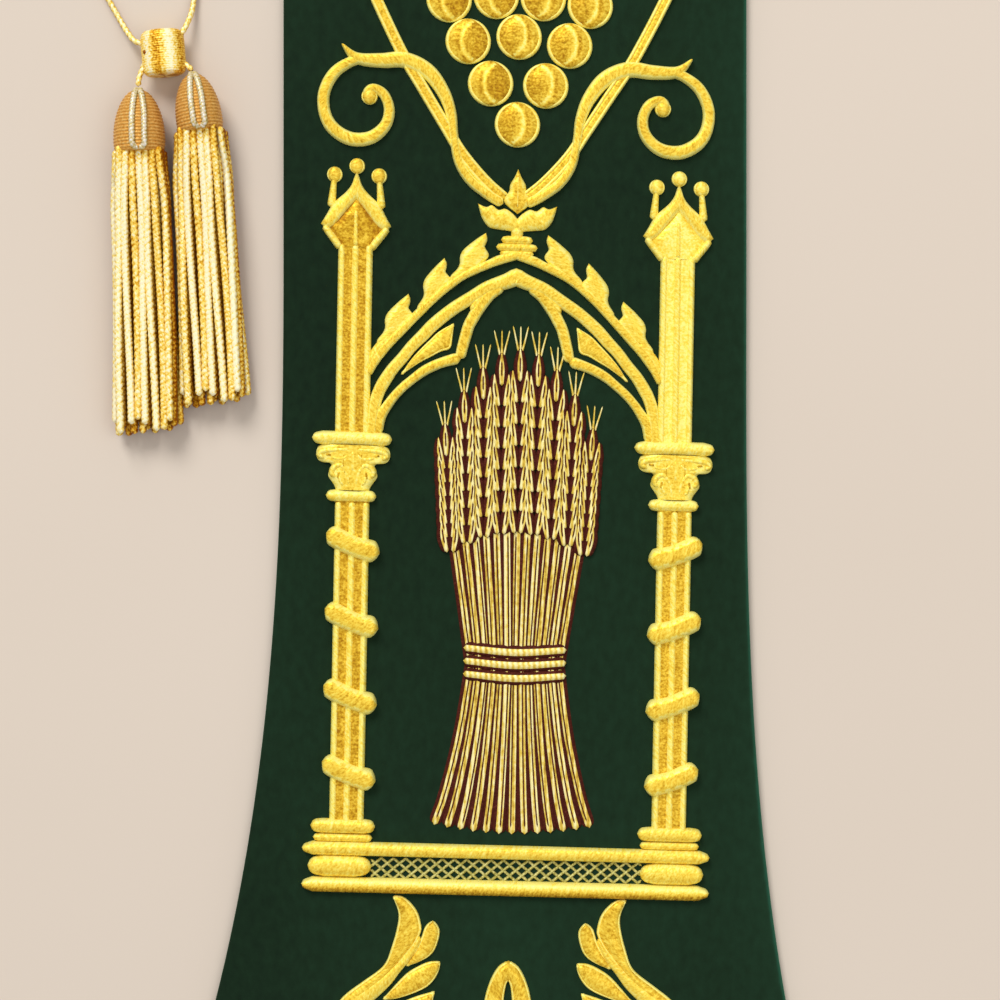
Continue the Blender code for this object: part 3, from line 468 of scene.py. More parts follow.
# Colours by tone, of each kind of thread, the pile and the floor.
GOLD_STOPS = (
    (0.0, (0.36, 0.160, 0.010)), (0.25, (0.59, 0.335, 0.019)), (0.52, (0.88, 0.59, 0.056)),
    (0.78, (0.99, 0.78, 0.112)), (1.0, (1.0, 0.90, 0.25)),
)
CORD_STOPS = (
    (0.0, (0.30, 0.085, 0.004)), (0.3, (0.68, 0.33, 0.014)), (0.55, (0.94, 0.63, 0.09)),
    (0.8, (1.0, 0.82, 0.27)), (1.0, (1.0, 0.94, 0.64)),
)
HEAD_STOPS = (
    (0.0, (0.36, 0.12, 0.008)), (0.45, (0.64, 0.31, 0.06)), (0.75, (0.78, 0.49, 0.15)),
    (1.0, (0.88, 0.68, 0.36)),
)
SILVER_STOPS = (
    (0.0, (0.30, 0.20, 0.04)), (0.5, (0.62, 0.49, 0.17)), (1.0, (0.84, 0.80, 0.72)),
)
LATTICE_STOPS = (
    (0.0, (0.10, 0.075, 0.008)), (0.5, (0.40, 0.36, 0.085)), (1.0, (0.74, 0.70, 0.30)),
)
ROW_STOPS = (
    (0.0, (0.16, 0.055, 0.008)), (0.3, (0.50, 0.30, 0.016)), (0.6, (0.80, 0.59, 0.070)),
    (1.0, (0.98, 0.89, 0.42)),
)
# The brightest stop is the green of the painted highlight along the edge.
VELVET_STOPS = (
    (0.21, (0.0033, 0.0118, 0.0052)), (0.35, (0.0064, 0.0215, 0.0092)),
    (0.55, (0.0100, 0.036, 0.0170)), (0.95, (0.018, 0.100, 0.058)),
)
DARK_STOPS = ((0.0, (0.025, 0.006, 0.004)), (0.6, (0.085, 0.018, 0.012)), (1.0, (0.20, 0.05, 0.035)))
FLOOR_STOPS = ((0.3, (0.668, 0.588, 0.508)), (0.7, (0.682, 0.602, 0.522)))


# ---------------------------------------------------------------- lines and meshes


def smooth(rows, steps):
    """Catmull-Rom curve through the rows, with steps points a stretch."""
    rows = np.asarray(rows, float)
    padded = np.vstack((2 * rows[0] - rows[1], rows, 2 * rows[-1] - rows[-2]))
    a, b, c, d = (padded[n : n + len(rows) - 1, None] for n in range(4))
    t = np.arange(steps)[:, None] / steps
    found = 2 * b + (c - a) * t + (2 * a - 5 * b + 4 * c - d) * t**2
    found = 0.5 * (found + (3 * b - a - 3 * c + d) * t**3)
    return np.vstack((found.reshape(-1, rows.shape[1]), rows[-1:]))


def lengths_along(points):
    return np.concatenate(([0.0], np.cumsum(np.linalg.norm(np.diff(points, axis=0), axis=1))))


def resampled(rows, count=None, step=None, columns=2):
    """The same line with count rows, or a row each step mm, evenly along its first columns."""
    rows = np.asarray(rows, float)
    along = lengths_along(rows[:, :columns])
    if count is None:
        count = max(int(round(along[-1] / step)) + 1, 4)
    want = np.linspace(0.0, along[-1], count)
    return np.stack([np.interp(want, along, column) for column in rows.T], axis=1)


def smooth_step(t):
    t = np.clip(t, 0.0, 1.0)
    return t * t * (3 - 2 * t)


def on_side(rows, side, axis=0.0):
    """Rows that start with their distance from an axis, put on one side of it."""
    return [(axis + side * u, *rest) for u, *rest in rows]


def rotated(points, degrees):
    """Points turned anticlockwise about the origin, as seen from above."""
    turn = math.radians(degrees)
    found = np.array(points, float)
    x, y = found[..., 0].copy(), found[..., 1].copy()
    found[..., 0] = math.cos(turn) * x - math.sin(turn) * y
    found[..., 1] = math.sin(turn) * x + math.cos(turn) * y
    return found


def normals_along(line, closed=False):
    """What points to the left of a line at each of its points."""
    tangent = np.gradient(line, axis=0)
    if closed:
        tangent[0] = tangent[-1] = line[1] - line[-2]
    tangent /= np.linalg.norm(tangent, axis=1, keepdims=True)
    return np.stack((-tangent[:, 1], tangent[:, 0]), axis=1)


def quads(index):
    """The faces between a grid's points, from the grid of their numbers."""
    corners = (index[:-1, :-1], index[:-1, 1:], index[1:, 1:], index[1:, :-1])
    return np.stack(corners, axis=-1).reshape(-1, 4)


def add_object(name, data):
    obj = bpy.data.objects.new(name, data)
    bpy.context.scene.collection.objects.link(obj)
    return obj


def add_mesh(name, points, faces, material, mirrored, layers):
    """A smooth mesh of points in mm. Each layer is a name, its kind, its field and its values."""
    points = points * MM
    if mirrored:
        points = points * (-1.0, 1.0, 1.0)
        faces = faces[:, ::-1]
    mesh = bpy.data.meshes.new(name)
    mesh.from_pydata(points.tolist(), [], faces.tolist())
    for label, kind, field, values in layers:
        layer = mesh.attributes.new(label, kind, "POINT")
        layer.data.foreach_set(field, values.astype(np.float32).ravel())
    mesh.polygons.foreach_set("use_smooth", np.ones(len(mesh.polygons), bool))
    mesh.materials.append(material)
    mesh.update()
    return add_object(name, mesh)


class Stitching:
    """Grids of points gathered into one mesh, with what its material reads.

    stitch holds mm across the threads' bed, mm along it, and a number for each grid; satin holds
    the place across from -1 to 1, the tone from 0, deep, to 1, bright, and how far away a crease
    runs.
    """

    def __init__(self):
        self.points = []
        self.stitch = []
        self.satin = []
        self.faces = []
        self.count = 0
        self.grids = 0

    def add(self, points, across, along, satin, wrap=False):
        """Adds a grid, closed round its rows if it wraps. Numbers stand for the whole grid."""
        n, m = points.shape[:2]
        index = self.count + np.arange(n * m).reshape(n, m)
        if wrap:
            index = np.concatenate((index, index[:, :1]), axis=1)
        self.faces.append(quads(index))
        self.points.append(points.reshape(-1, 3))
        stitch = (across, along, self.grids % THREAD_PATTERNS)
        for kept, parts in ((self.stitch, stitch), (self.satin, satin)):
            whole = [np.broadcast_to(part, (n, m)) for part in parts]
            kept.append(np.stack(whole, axis=-1).reshape(-1, 3))
        self.count += n * m
        self.grids += 1

    def make(self, name, material, mirrored=False):
        layers = [
            (label, "FLOAT_VECTOR", "vector", np.concatenate(values))
            for label, values in (("stitch", self.stitch), ("satin", self.satin))
        ]
        points, faces = np.concatenate(self.points), np.concatenate(self.faces)
        return add_mesh(name, points, faces, material, mirrored, layers)


# ---------------------------------------------------------------- embroidery


def on_panel(u, v):
    x = PANEL_AXIS_X + u + PANEL_LEAN * v
    y = PANEL_BASE_Y + v - (ROW_DROP + ROW_DROP_GAIN * v) * u
    return x, y


def strip(
    work, left, right, height, tone=0.6, crease=None, slant=0.0, power=2.0, across=9, lift=0.0,
    ripple=0.0, rim=0.0, fall=0.0,
):
    """A bed of satin stitches laid from the left line to the right one.

    crease is None, or a call that turns the bed's places into distances from its crease and their
    tone. rim is added to the tone near both edges, and painted light and shade are added by the fall
    from left to right, the left side lighter and the right side darker.
    """
    s = -np.cos(np.pi * np.arange(across) / (across - 1))
    width = np.linalg.norm(right - left, axis=1)
    place = left[:, None] + (right - left)[:, None] * ((s + 1) / 2)[None, :, None]
    x, y = on_panel(place[..., 0], place[..., 1])
    profile = np.sqrt(np.maximum(1 - np.abs(s) ** power, 0.0))
    rise = np.reshape(height, (-1, 1)) + STITCH_SINK
    side = s * width[:, None] / 2
    along = lengths_along((left + right) / 2)[:, None]
    thread = along + slant * side
    # The ripples' height also tones them: a painted highlight on the crests, painted shade between them.
    wrap = np.cos(2 * np.pi * thread / RIPPLE_PITCH)
    z = WALL - STITCH_SINK + lift + rise * profile * (1 + ripple * wrap)
    uneven = RIM_UNEVEN * np.sin(RIM_WAVE * along + 2.0 * s + work.grids)
    # Painted light and shade from the fall: lighter on the bed's left side, darker on its right.
    tone = tone + RIPPLE_PAINTED_LIGHT * ripple * wrap - fall * np.clip(PAINTED_SHADE_SLOPE * s, -1.0, 1.0)
    tone = tone + rim * smooth_step((np.abs(s) + uneven - RIM_FROM) / RIM_EASE)
    distance, tone = crease(place) if crease else (NO_CREASE, tone)
    work.add(np.stack((x, y, z), axis=-1), side, thread, (s, tone, distance))


def stroke(work, rows, height, step=0.7, closed=False, **style):
    """A stroke through rows of u, v, width, with round ends unless it closes on itself."""
    line = resampled(rows, step=step)
    places, width = line[:, :2], line[:, 2].copy()
    if closed:
        places[-1] = places[0]
    rise = np.full(len(width), float(height))
    if not closed:
        along = lengths_along(places)
        for end in (along, along[-1] - along):
            reach = max(width[end.argmin()] / 2, LEAST_REACH)
            shrink = np.sqrt(1 - (1 - np.clip(end / reach, 0.0, 1.0)) ** 2)
            width *= np.maximum(shrink, END_SHARE)
            rise *= np.maximum(shrink, END_SHARE) ** 0.6
    half = normals_along(places, closed) * width[:, None] / 2
    strip(work, places + half, places - half, rise, **style)


def curve(work, style, rows, side=1, axis=0.0, steps=5, **more):
    """A smooth stroke on one side of an axis."""
    stroke(work, smooth(on_side(rows, side, axis), steps), **STYLES[style], **more)


def cord_edge(work, line, height, width, closed=False):
    """The bright couched thread that runs round a form."""
    rows = np.column_stack((line, np.full(len(line), width)))
    stroke(work, rows, height, closed=closed, **STYLES["edge_cord"])


def inset(side, other, distance):
    """A form's side moved inwards, less where the form is narrow."""
    inwards = other - side
    width = np.linalg.norm(inwards, axis=1, keepdims=True)
    return side + inwards * np.minimum(distance, 0.42 * width) / np.maximum(width, 1e-6)


def fill(work, left, right, height, edge=0.0, **style):
    """Satin between two lines, lower where it narrows to a tip, with cords of width edge."""
    width = np.linalg.norm(right - left, axis=1)
    rise = height * np.sqrt(np.clip(width / (TIP_FROM * width.max()), 0.02, 1.0))
    strip(work, left, right, rise, power=3.0, **style)
    if edge:
        for side, other in ((left, right), (right, left)):
            cord_edge(work, inset(side, other, edge * EDGE_INSET), height * EDGE_RISE, edge)


def leaf(work, outline, turn, pointed, **style):
    """A filled outline that starts at its tip and turns back after its row turn."""
    second = [outline[0], *outline[:turn:-1]]
    if pointed:
        second.append(outline[turn])
    sides = [resampled(smooth(rows, 6), FORM_ROWS) for rows in (outline[: turn + 1], second)]
    fill(work, *sides, **style)


def half_form(work, half, axis, smoothing=3, count=FORM_ROWS, **style):
    """A form that is the same on both sides of a vertical axis, from its top to its foot."""
    right = resampled(smooth(half, smoothing), count)
    fill(work, right * (-1.0, 1.0) + (axis, 0.0), right + (axis, 0.0), **style)


def half_band(work, outer, inner, axis, side, **style):
    """A form between two lines, on one side of a vertical axis."""
    lines = [
        resampled(smooth(rows, 5), FORM_ROWS) * (side, 1.0) + (axis, 0.0)
        for rows in (outer, inner)
    ]
    fill(work, *lines, **style)


def disc(work, u, v, size, height, edge, **style):
    """A round satin pad with a corded rim."""
    angle = np.linspace(0.0, np.pi, 25)
    reach = size / 2 * np.sin(angle)
    left, right = (np.column_stack((u + way * reach, v + size / 2 * np.cos(angle))) for way in (-1, 1))
    rise = height * np.sqrt(np.maximum(np.sin(angle), 0.02))
    strip(work, left, right, rise, power=2.2, across=15, **style)
    turn = np.linspace(0.0, 2 * np.pi, max(int(size * 5), 16))
    reach = size / 2 - edge * 0.35
    ring = np.column_stack((u + reach * np.cos(turn), v + reach * np.sin(turn)))
    cord_edge(work, ring, height * 0.5, edge, closed=True)


def embroider_bars(work):
    for v, middle, half, thick, height, ends, fall, tone in CROSS_BARS:
        taper = min(thick * 0.75, half / 2)
        tilt, rise = (BASE_TILT, BASE_RISE) if v < BASE_TOP else (0.0, 0.0)
        places = (-middle, middle) if middle else (middle,)
        for u in places:
            stops = ((-half, ends), (taper - half, 1.0), (half - taper, 1.0), (half, ends))
            rows = [(u + at, v + rise - tilt * (u + at), thick * share) for at, share in stops]
            # Painted shade on the bar's lower side, where the bright rim gives way to it.
            rim = max(BAR_RIM - fall, 0.0)
            stroke(work, rows, height, tone=tone, rim=rim, fall=fall, **STYLES["bar"])


def embroider_shaft(work, axis, foot, top, tone):
    half = SHAFT_WIDTH / 2
    v = np.linspace(foot, top, int(top - foot))
    for middle in (axis - half / 2, axis + half / 2):
        left = np.column_stack((np.full_like(v, middle - half / 2), v))
        right = np.column_stack((np.full_like(v, middle + half / 2), v))
        strip(work, left, right, tone=tone, **STYLES["shaft"])
    for offset, width, shade in SHAFT_RIBS:
        rows = ((axis + offset, foot, width), (axis + offset, top, width))
        stroke(work, rows, tone=shade, **STYLES["shaft_rib"])


def embroider_winding(work, axis, side, v):
    """A pad that wraps the shaft: fuller at its ends and bright along both edges."""
    line = [
        (axis - side * t * WINDING_HALF_U, v - t * WINDING_HALF_V + bend, WINDING_THICK * share)
        for t, bend, share in WINDING_LINE
    ]
    stroke(work, smooth(line, 5), **STYLES["winding"])


def embroider_pinnacle(work, axis, tone):
    # tone is the upper shaft's, with its painted light, for the gable and, lighter, for the balls.
    half_form(work, GABLE, axis, count=30, tone=tone, **STYLES["gable"])
    for side in (-1, 1):
        half_band(work, ROOF_OUTER, ROOF_INNER, axis, side, **STYLES["roof"])
        curve(work, "eave", GABLE_EDGE, side, axis)
    stroke(work, on_side(RIDGE, 1, axis), **STYLES["ridge"])
    head, foot = PIN_WIDTHS
    for offset, v in BALLS:
        if offset:
            pin = ((axis + offset, v, head), (axis + PIN_SPREAD * offset, v - PIN_DROP, foot))
            stroke(work, pin, **STYLES["pin"])
        disc(work, axis + offset, v, *BALL, tone=0.45 + 0.4 * tone)


def embroider_capital(work, axis):
    half_form(work, CAPITAL, axis, smoothing=2, **STYLES["capital"])
    # Volutes and the leaf's ribs stand on the pad, with dark strokes of painted shade in the hollows
    # between them.
    for side in (-1, 1):
        for name, lines in (("painted_hollow_shade", CAPITAL_PAINTED_SHADE_STROKES), ("volute", CAPITAL_STROKES)):
            for rows in lines:
                curve(work, name, rows, side, axis, 4)
    stroke(work, on_side(CAPITAL_RIB, 1, axis), **STYLES["capital_rib"])


def embroider_columns(work):
    for side, tones in COLUMN_PAINTED_LIGHT_TONES:
        axis = side * COLUMN_U
        for (foot, top), tone, shift in zip(SHAFTS, tones, COLUMN_SHIFTS):
            embroider_shaft(work, axis + shift, foot, top, tone)
        for v in WINDING_V:
            embroider_winding(work, axis + COLUMN_SHIFTS[0] + WINDING_SHIFT, side, v)
        embroider_capital(work, axis + COLUMN_SHIFTS[0])
        embroider_pinnacle(work, axis + COLUMN_SHIFTS[1], tones[1])


def embroider_arch(work):
    for band in (OUTER_BAND, INNER_BAND):
        half = smooth(band, 5)
        stroke(work, np.vstack((half[:0:-1] * (-1, 1, 1), half)), **STYLES["arch_band"])
    for side in (-1, 1):
        for rows in (CUSP, CUSP_ARC):
            curve(work, "cusp", rows, side)
        for rows in (ARCH_FOOT, CUSP_WEDGE):
            curve(work, "arch_patch", rows, side, steps=4)
        leaf(work, on_side(SPANDREL_LEAF, side), SPANDREL_TURN, True, **STYLES["spandrel_leaf"])
        for *tip, degrees in CROCKET_TIPS:
            lines = [rotated(rows, degrees) + tip for rows in (CROCKET_OUTER, CROCKET_INNER)]
            half_band(work, *lines, 0.0, side, **STYLES["crocket"])
        half_band(work, CUP_TOP, CUP_FOOT, 0.0, side, **STYLES["finial_cup"])
    stroke(work, CUP_STEM, **STYLES["cup_stem"])
    half_form(work, FINIAL_FLAME, 0.0, **STYLES["finial_flame"])
    stroke(work, FLAME_RIB, **STYLES["flame_rib"])


def crescent(u, v, side):
    """How a grape is creased: round a smaller pad that lies off to one side of its middle.
    The pad gets painted light that changes across it, with a ring of painted shade round it.
    """
    least, slope, turn, low = GRAPE_PAINTED_LIGHT[side]

    def crease(place):
        across = (place[..., 0] - u) / (GRAPE_SIZE / 2)
        up = (place[..., 1] - v) / (GRAPE_SIZE / 2)
        inner = np.hypot(across + PAD_SHIFT * side, up * PAD_SQUEEZE) / PAD_SIZE
        pad = np.clip((1.04 - inner) * 12, 0.0, 1.0)
        lit = np.clip(least + slope * np.maximum(across, turn), *PAD_TONE_RANGE)
        distance = np.where(across * side > PAD_CREASE_FROM, (inner - 1.0) * PAD_SIZE, NO_CREASE)
        painted_hollow_shade = HOLLOW_PAINTED_SHADE * np.exp(-(((inner - HOLLOW_AT) / HOLLOW_WIDTH) ** 2))
        return distance, (low - painted_hollow_shade) * (1 - pad) + lit * pad

    return crease


def embroider_vine(work):
    for v, count, spacing, bow in GRAPE_ROWS:
        for across in np.arange(count) - (count - 1) / 2:
            u = VINE_SHIFT / 2 + across * spacing
            middle = v + bow * (1 - abs(across) / max((count - 1) / 2, 1))
            crease = crescent(u, middle, -1 if across < 0 else 1)
            disc(work, u, middle, GRAPE_SIZE, GRAPE_RISE, GRAPE_EDGE, crease=crease)
    stroke(work, STALK, **STYLES["stalk"])
    for side in (-1, 1):
        stem = smooth(on_side(VINE_STEM, side, VINE_SHIFT), 6)
        stroke(work, stem, **STYLES["stem"])
        for share in (-0.5, 0.5):
            away = normals_along(stem[:, :2]) * share * STEM_CORDS_APART
            cord_edge(work, stem[:, :2] + away, *STEM_CORD)
        for name, rows in (("scroll", VINE_SCROLL), ("tendril", TENDRIL)):
            curve(work, name, rows, side, VINE_SHIFT, 6, slant=SCROLL_SLANT * side)
        (ball,) = on_side((TENDRIL_BALL,), side, VINE_SHIFT)
        disc(work, *ball, tone=0.6)


def embroider_palmette(work):
    for side in (-1, 1):
        for turn, pointed, outline in LEAVES:
            leaf(work, on_side(outline, side, PALMETTE_SHIFT), turn, pointed, **STYLES["leaf"])
        for name, rows in (("leaf_rib", LEAF_RIB), ("palmette_stem", PALMETTE_STEM)):
            curve(work, name, rows, side, PALMETTE_SHIFT)
        half_band(work, ALMOND_OUTER, ALMOND_INNER, PALMETTE_SHIFT, side, **STYLES["almond"])


def embroider_lattice(work):
    (low, high), (start, end) = LATTICE_V, LATTICE_U
    reach = (high - low) * LATTICE_SLOPE
    count = int((end - start + reach) / LATTICE_PITCH) + 2
    t = np.linspace(0.0, 1.0, 12)
    thread = np.full_like(t, LATTICE_THREAD)
    for lean, height in ((-1, 0.45), (1, 0.57)):
        for n in range(count):
            foot = start - (reach if lean > 0 else 0.0) + n * LATTICE_PITCH
            rows = np.column_stack((foot + lean * reach * t, low + (high - low) * t, thread))
            rows = rows[(rows[:, 0] > start) & (rows[:, 0] < end)]
            if len(rows) > 2:
                stroke(work, rows, height, **STYLES["lattice"])


def edged(gold, outline, rows, height, lift, tone, step=0.7):
    """A stroke over a slightly wider dark one, which shows along its edges."""
    wider = rows + (0.0, 0.0, EDGING)
    for work, line, rise, shade in ((outline, wider, 0.8 * height, 0.5), (gold, rows, height, tone)):
        stroke(work, line, rise, step=step, lift=lift, tone=shade, across=7)


def creased(outline, rows, lift, offset=0.0):
    """A thin dark line along a stroke."""
    line = rows[:, :2] + normals_along(rows[:, :2]) * offset
    rows = np.column_stack((line, np.full(len(rows), CREASE_WIDTH)))
    stroke(outline, rows, 0.12, step=0.8, lift=lift, tone=0.6, across=5)


def embroider_ear(gold, outline, foot, tip, lift):
    """Grains in pairs up an ear, each pair under the one below, and awns from its tip."""
    axis = tip - foot
    length = np.linalg.norm(axis)
    axis = axis / length
    aside = np.array((axis[1], -axis[0]))
    for spread in AWN_SPREADS:
        end = tip + (axis + aside * spread) * AWN_LENGTH
        awn = ((*(tip - axis * AWN_ROOT), 0.7), (*end, 0.4))
        stroke(gold, awn, 0.35, step=0.5, lift=lift, tone=0.85, across=5)
    grain, thick = GRAIN
    for n in range(GRAIN_PAIRS - 1, -1, -1):
        base = foot + axis * (length - grain) * n / (GRAIN_PAIRS - 1)
        sides = (-1, 1) if n < GRAIN_PAIRS - 1 else (0,)  # a single grain ends the ear
        for side in sides:
            lean = axis + aside * side * GRAIN_LEAN
            lean = lean / np.linalg.norm(lean)
            start = base + aside * side * GRAIN_AWAY
            end = start + lean * grain
            middle = (start + end) / 2 + aside * side * 0.3
            rows = smooth([(*start, 1.6), (*middle, thick), (*end, 0.4)], 6)
            height = lift + 0.07 * (GRAIN_PAIRS - n)
            edged(gold, outline, rows, GRAIN_RISE, height, 0.84 - 0.10 * (n % 2), step=0.5)
            creased(outline, rows[3:-3], height + GRAIN_RISE)


def embroider_sheaf(gold, outline):
    """Stalks tied at the waist under a fan of ears, each edged in dark thread."""
    middle = (SHEAF_STALKS - 1) / 2
    for n in sorted(range(SHEAF_STALKS), key=lambda k: (k % 2, abs(k - middle))):
        k = n - middle
        lift = 0.22 * (n % 2)
        sag = STALK_SAG * k * k
        rows = [
            (SHEAF_U + k * gap, v + sag * (0.5 if v < WAIST_V else -0.9), STALK_WIDTH)
            for v, gap in SHEAF_FAN
        ]
        rows = smooth(rows, 5)
        edged(gold, outline, rows, STALK_RISE, lift, 0.76 + 0.16 * math.sin(4.1 * n))
        creased(outline, rows[1:-1], lift + STALK_RISE, 0.3 * math.sin(2.3 * n))
    middle = (EARS - 1) / 2
    for n in sorted(range(EARS), key=lambda k: -abs(k - middle)):
        k = n - middle
        foot = np.array((SHEAF_U + k * EAR_PITCH[0], EAR_FOOT_V - 0.35 * k * k))
        tip = np.array((SHEAF_U + k * EAR_PITCH[1], EAR_FOOT_V + EAR_LENGTH - EAR_SAG * k * k))
        embroider_ear(gold, outline, foot, tip, 0.35 - 0.05 * abs(k))
    for v in TIE_V:
        band = [(SHEAF_U + share * TIE_HALF, v + bend, thick) for share, bend, thick in TIE_LINE]
        edged(gold, outline, smooth(band, 6), 1.2, 0.3, 0.82)


# ---------------------------------------------------------------- cloth


def flared(y):
    """How far y lies down the curved part of the band's flare, and down its straight part."""
    depth = np.maximum(FLARE_Y - y, 0.0)
    curved = np.minimum(depth, FLARE_CURVED)
    return curved, depth - curved


def narrowed(y):
    """From 0, where the band starts to narrow, to 1 at the neck."""
    return smooth_step((y - HEM_Y - NARROWING_FROM_HEM) / (HEM_TO_NECK - NARROWING_FROM_HEM))


def band_centre(y):
    curved, straight = flared(y)
    inward = FLARE_INWARD * curved * (curved + 2 * straight)
    return STRAIGHT_CENTRE_X + (NECK_RADIUS - STRAIGHT_CENTRE_X) * narrowed(y) - inward


def band_width(y):
    curved, straight = flared(y)
    wider = FLARE_CUBIC * curved**2 * (curved + 3 * straight)
    return BAND_WIDTH + (NECK_BAND_WIDTH - BAND_WIDTH) * narrowed(y) + wider


def eased(length):
    """Places from 0 to length, close together near both ends, where the cloth's edge rolls."""
    near = np.array(EDGE_STEPS)
    steps = max(int(length / CLOTH_STEP), 2)
    inner = np.linspace(near[-1], length - near[-1], steps + 1)[1:-1]
    return np.concatenate((near, inner, length - near[::-1]))


def band_rows():
    """The two edges of the right half, row by row from the hem to the seam behind the neck."""
    straight = eased(HEM_TO_NECK)
    straight = straight[straight < HEM_TO_NECK - CLOTH_STEP]
    y = HEM_Y + straight
    turn = eased(NECK_RADIUS * math.acos(SEAM_GAP / 2 / NECK_RADIUS))
    angle = turn[turn > EDGE_STEPS[-1]] / NECK_RADIUS
    edges = []
    for side in (-1, 1):
        radius = NECK_RADIUS + side * NECK_BAND_WIDTH / 2
        edge = np.column_stack((band_centre(y) + side * band_width(y) / 2, y))
        arc = np.column_stack((radius * np.cos(angle), NECK_Y + radius * np.sin(angle)))
        edges.append(np.vstack((edge, arc)))
    return *edges, np.concatenate((straight, HEM_TO_NECK + angle * NECK_RADIUS))


def make_velvet(name, material, mirrored):
    """A closed sheet with rolled edges: a top and an underside that share their rim."""
    inner, outer, along = band_rows()
    share = eased(BAND_WIDTH) / BAND_WIDTH
    width = np.linalg.norm(outer - inner, axis=1)[:, None]
    # The rolled edges keep their own size where the band is wider or narrower.
    near = share * BAND_WIDTH
    far = width - (BAND_WIDTH - near)
    offset = np.where(near >= BAND_WIDTH - EDGE_ROLL, far, share * width)
    offset = np.where(near <= EDGE_ROLL, near, offset)
    t = (offset / width)[..., None]
    place = inner[:, None] * (1 - t) + outer[:, None] * t
    along = along[:, None]
    rim = np.minimum(np.minimum(offset, width - offset), np.minimum(along, along[-1] - along))
    roll = np.clip(1 - rim / EDGE_ROLL, 0.0, 1.0)
    low = (WALL / 2) * (1 - np.sqrt(np.maximum(1 - roll**2, 0.0)))
    top = WALL - low
    flat = smooth_step(rim / PUCKER_FROM_EDGE)
    for i, j in np.argwhere(flat > 0):
        here = (*(place[i, j] * PUCKER_SCALE), 3.0)
        top[i, j] += PUCKER * flat[i, j] * (noise.noise(here) - 0.35)
    inside = np.zeros(top.shape, bool)
    inside[1:-1, 1:-1] = True
    above = np.arange(top.size).reshape(top.shape)
    below = above.copy()
    below[inside] = top.size + np.arange(inside.sum())
    points = np.vstack((
        np.concatenate((place, top[..., None]), axis=-1).reshape(-1, 3),
        np.concatenate((place, low[..., None]), axis=-1)[inside],
    ))
    faces = np.vstack((quads(above), quads(below)[:, [0, 3, 2, 1]]))
    outwards = np.minimum(width - offset, along)
    from_edge = np.concatenate((outwards.ravel(), outwards[inside]))
    layers = (("from_edge", "FLOAT", "value", from_edge),)
    cloth = add_mesh(name, points, faces, material, mirrored, layers)
    return cloth, float((np.diff(along, axis=0) * np.diff(offset, axis=1)[:-1]).sum()) * MM * MM


# ---------------------------------------------------------------- tie


def tie_points(rows):
    return np.asarray(rows, float) + (0.0, TIE_DATUM_Y, 0.0)


def framed(points):
    """Two normals at each point, which turn as little as they can."""
    tangent = np.gradient(points, axis=0)
    tangent /= np.linalg.norm(tangent, axis=1, keepdims=True)
    normal = np.empty_like(tangent)
    normal[0] = np.cross(tangent[0], (0.0, 0.3, 1.0))
    normal[0] /= np.linalg.norm(normal[0])
    for n in range(1, len(points)):
        carried = normal[n - 1] - tangent[n] * np.dot(normal[n - 1], tangent[n])
        normal[n] = carried / np.linalg.norm(carried)
    return normal, np.cross(tangent, normal)


def twisted(
    work, points, radius, pitch, phase=0.0, sides=10, step=0.4, tone=0.8, groove=0.26, shaded=0.0,
    painted_flank_shade=0.55,
):
    """A cord of two plies that turn once in pitch mm, along points.

    It gets painted shade over its first shaded mm, as where a strand comes out from under a head.
    flank is how much painted shade its sides get below its top, as if lit from above, and the
    grooves between its plies get painted shade too.
    """
    line = resampled(points, step=step, columns=3)
    normal, binormal = framed(line)
    along = lengths_along(line)[:, None]
    taper = np.clip(np.minimum(along, along[-1] - along) / 0.5, 0.25, 1.0)
    turn = np.linspace(0.0, 2 * np.pi, sides, endpoint=False)
    lobe = np.abs(np.cos(turn - (2 * np.pi * along / pitch + phase)))
    reach = radius * taper * (1 - groove + groove * lobe)
    ring = normal[:, None] * np.cos(turn)[:, None] + binormal[:, None] * np.sin(turn)[:, None]
    # Painted shade in the grooves between the plies and on the sides, as if lit from above.
    shade = tone - 0.35 * (1 - lobe) ** 2 + painted_flank_shade * np.minimum(ring[..., 2] - 0.85, 0.05)
    # Painted shade near its start, where a strand lies under its head.
    if shaded:
        shade = shade - 0.38 * (1 - smooth_step(along / shaded))
    place = line[:, None] + ring * reach[..., None]
    satin = (lobe * 2 - 1, shade, NO_CREASE)
    work.add(place, turn * radius, along + turn * 0.5, satin, wrap=True)


def wound(work, profile, place, sides, flattening, lift, tone, ridge, pitch, painted_light_bands=()):
    """A form turned about its own Y axis, wound with thread, from rows of radius and height.
    Its turns get a painted highlight on their crests and painted shade between them, and bands
    add painted highlights and painted shade down it.
    """
    line = resampled(smooth(profile, 8), step=0.11)
    radius, height = line[:, :1], line[:, 1:]
    turn = np.linspace(np.pi, 3 * np.pi, sides, endpoint=False)
    across = np.sin(turn)
    thread = np.abs(np.sin(np.pi * height / pitch)) - 0.6
    reach = np.maximum(radius + ridge * thread, 0.05)
    parts = (reach * across, height, reach * np.cos(turn) * flattening + lift)
    local = np.stack([np.broadcast_to(part, reach.shape[:1] + turn.shape) for part in parts], axis=-1)
    # Painted highlight on the crests of the wound thread and painted shade in the grooves between its
    # turns.
    shade = tone + 0.25 * thread
    # Bands of painted highlight and painted shade down the form.
    for middle, half, added in painted_light_bands:
        shade = shade + added * np.exp(-(((across - middle) / half) ** 2))
    along = lengths_along(line)[:, None]
    work.add(place(local), turn * radius.max(), along, (across, shade, NO_CREASE), wrap=True)


def placed(x, y, degrees, width=1.0):
    """What turns points of a tassel's or the slider's own frame into the world's, in mm."""

    def place(local):
        return rotated(local * (width, 1.0, 1.0), degrees) + (x, TIE_DATUM_Y + y, 0.0)

    return place


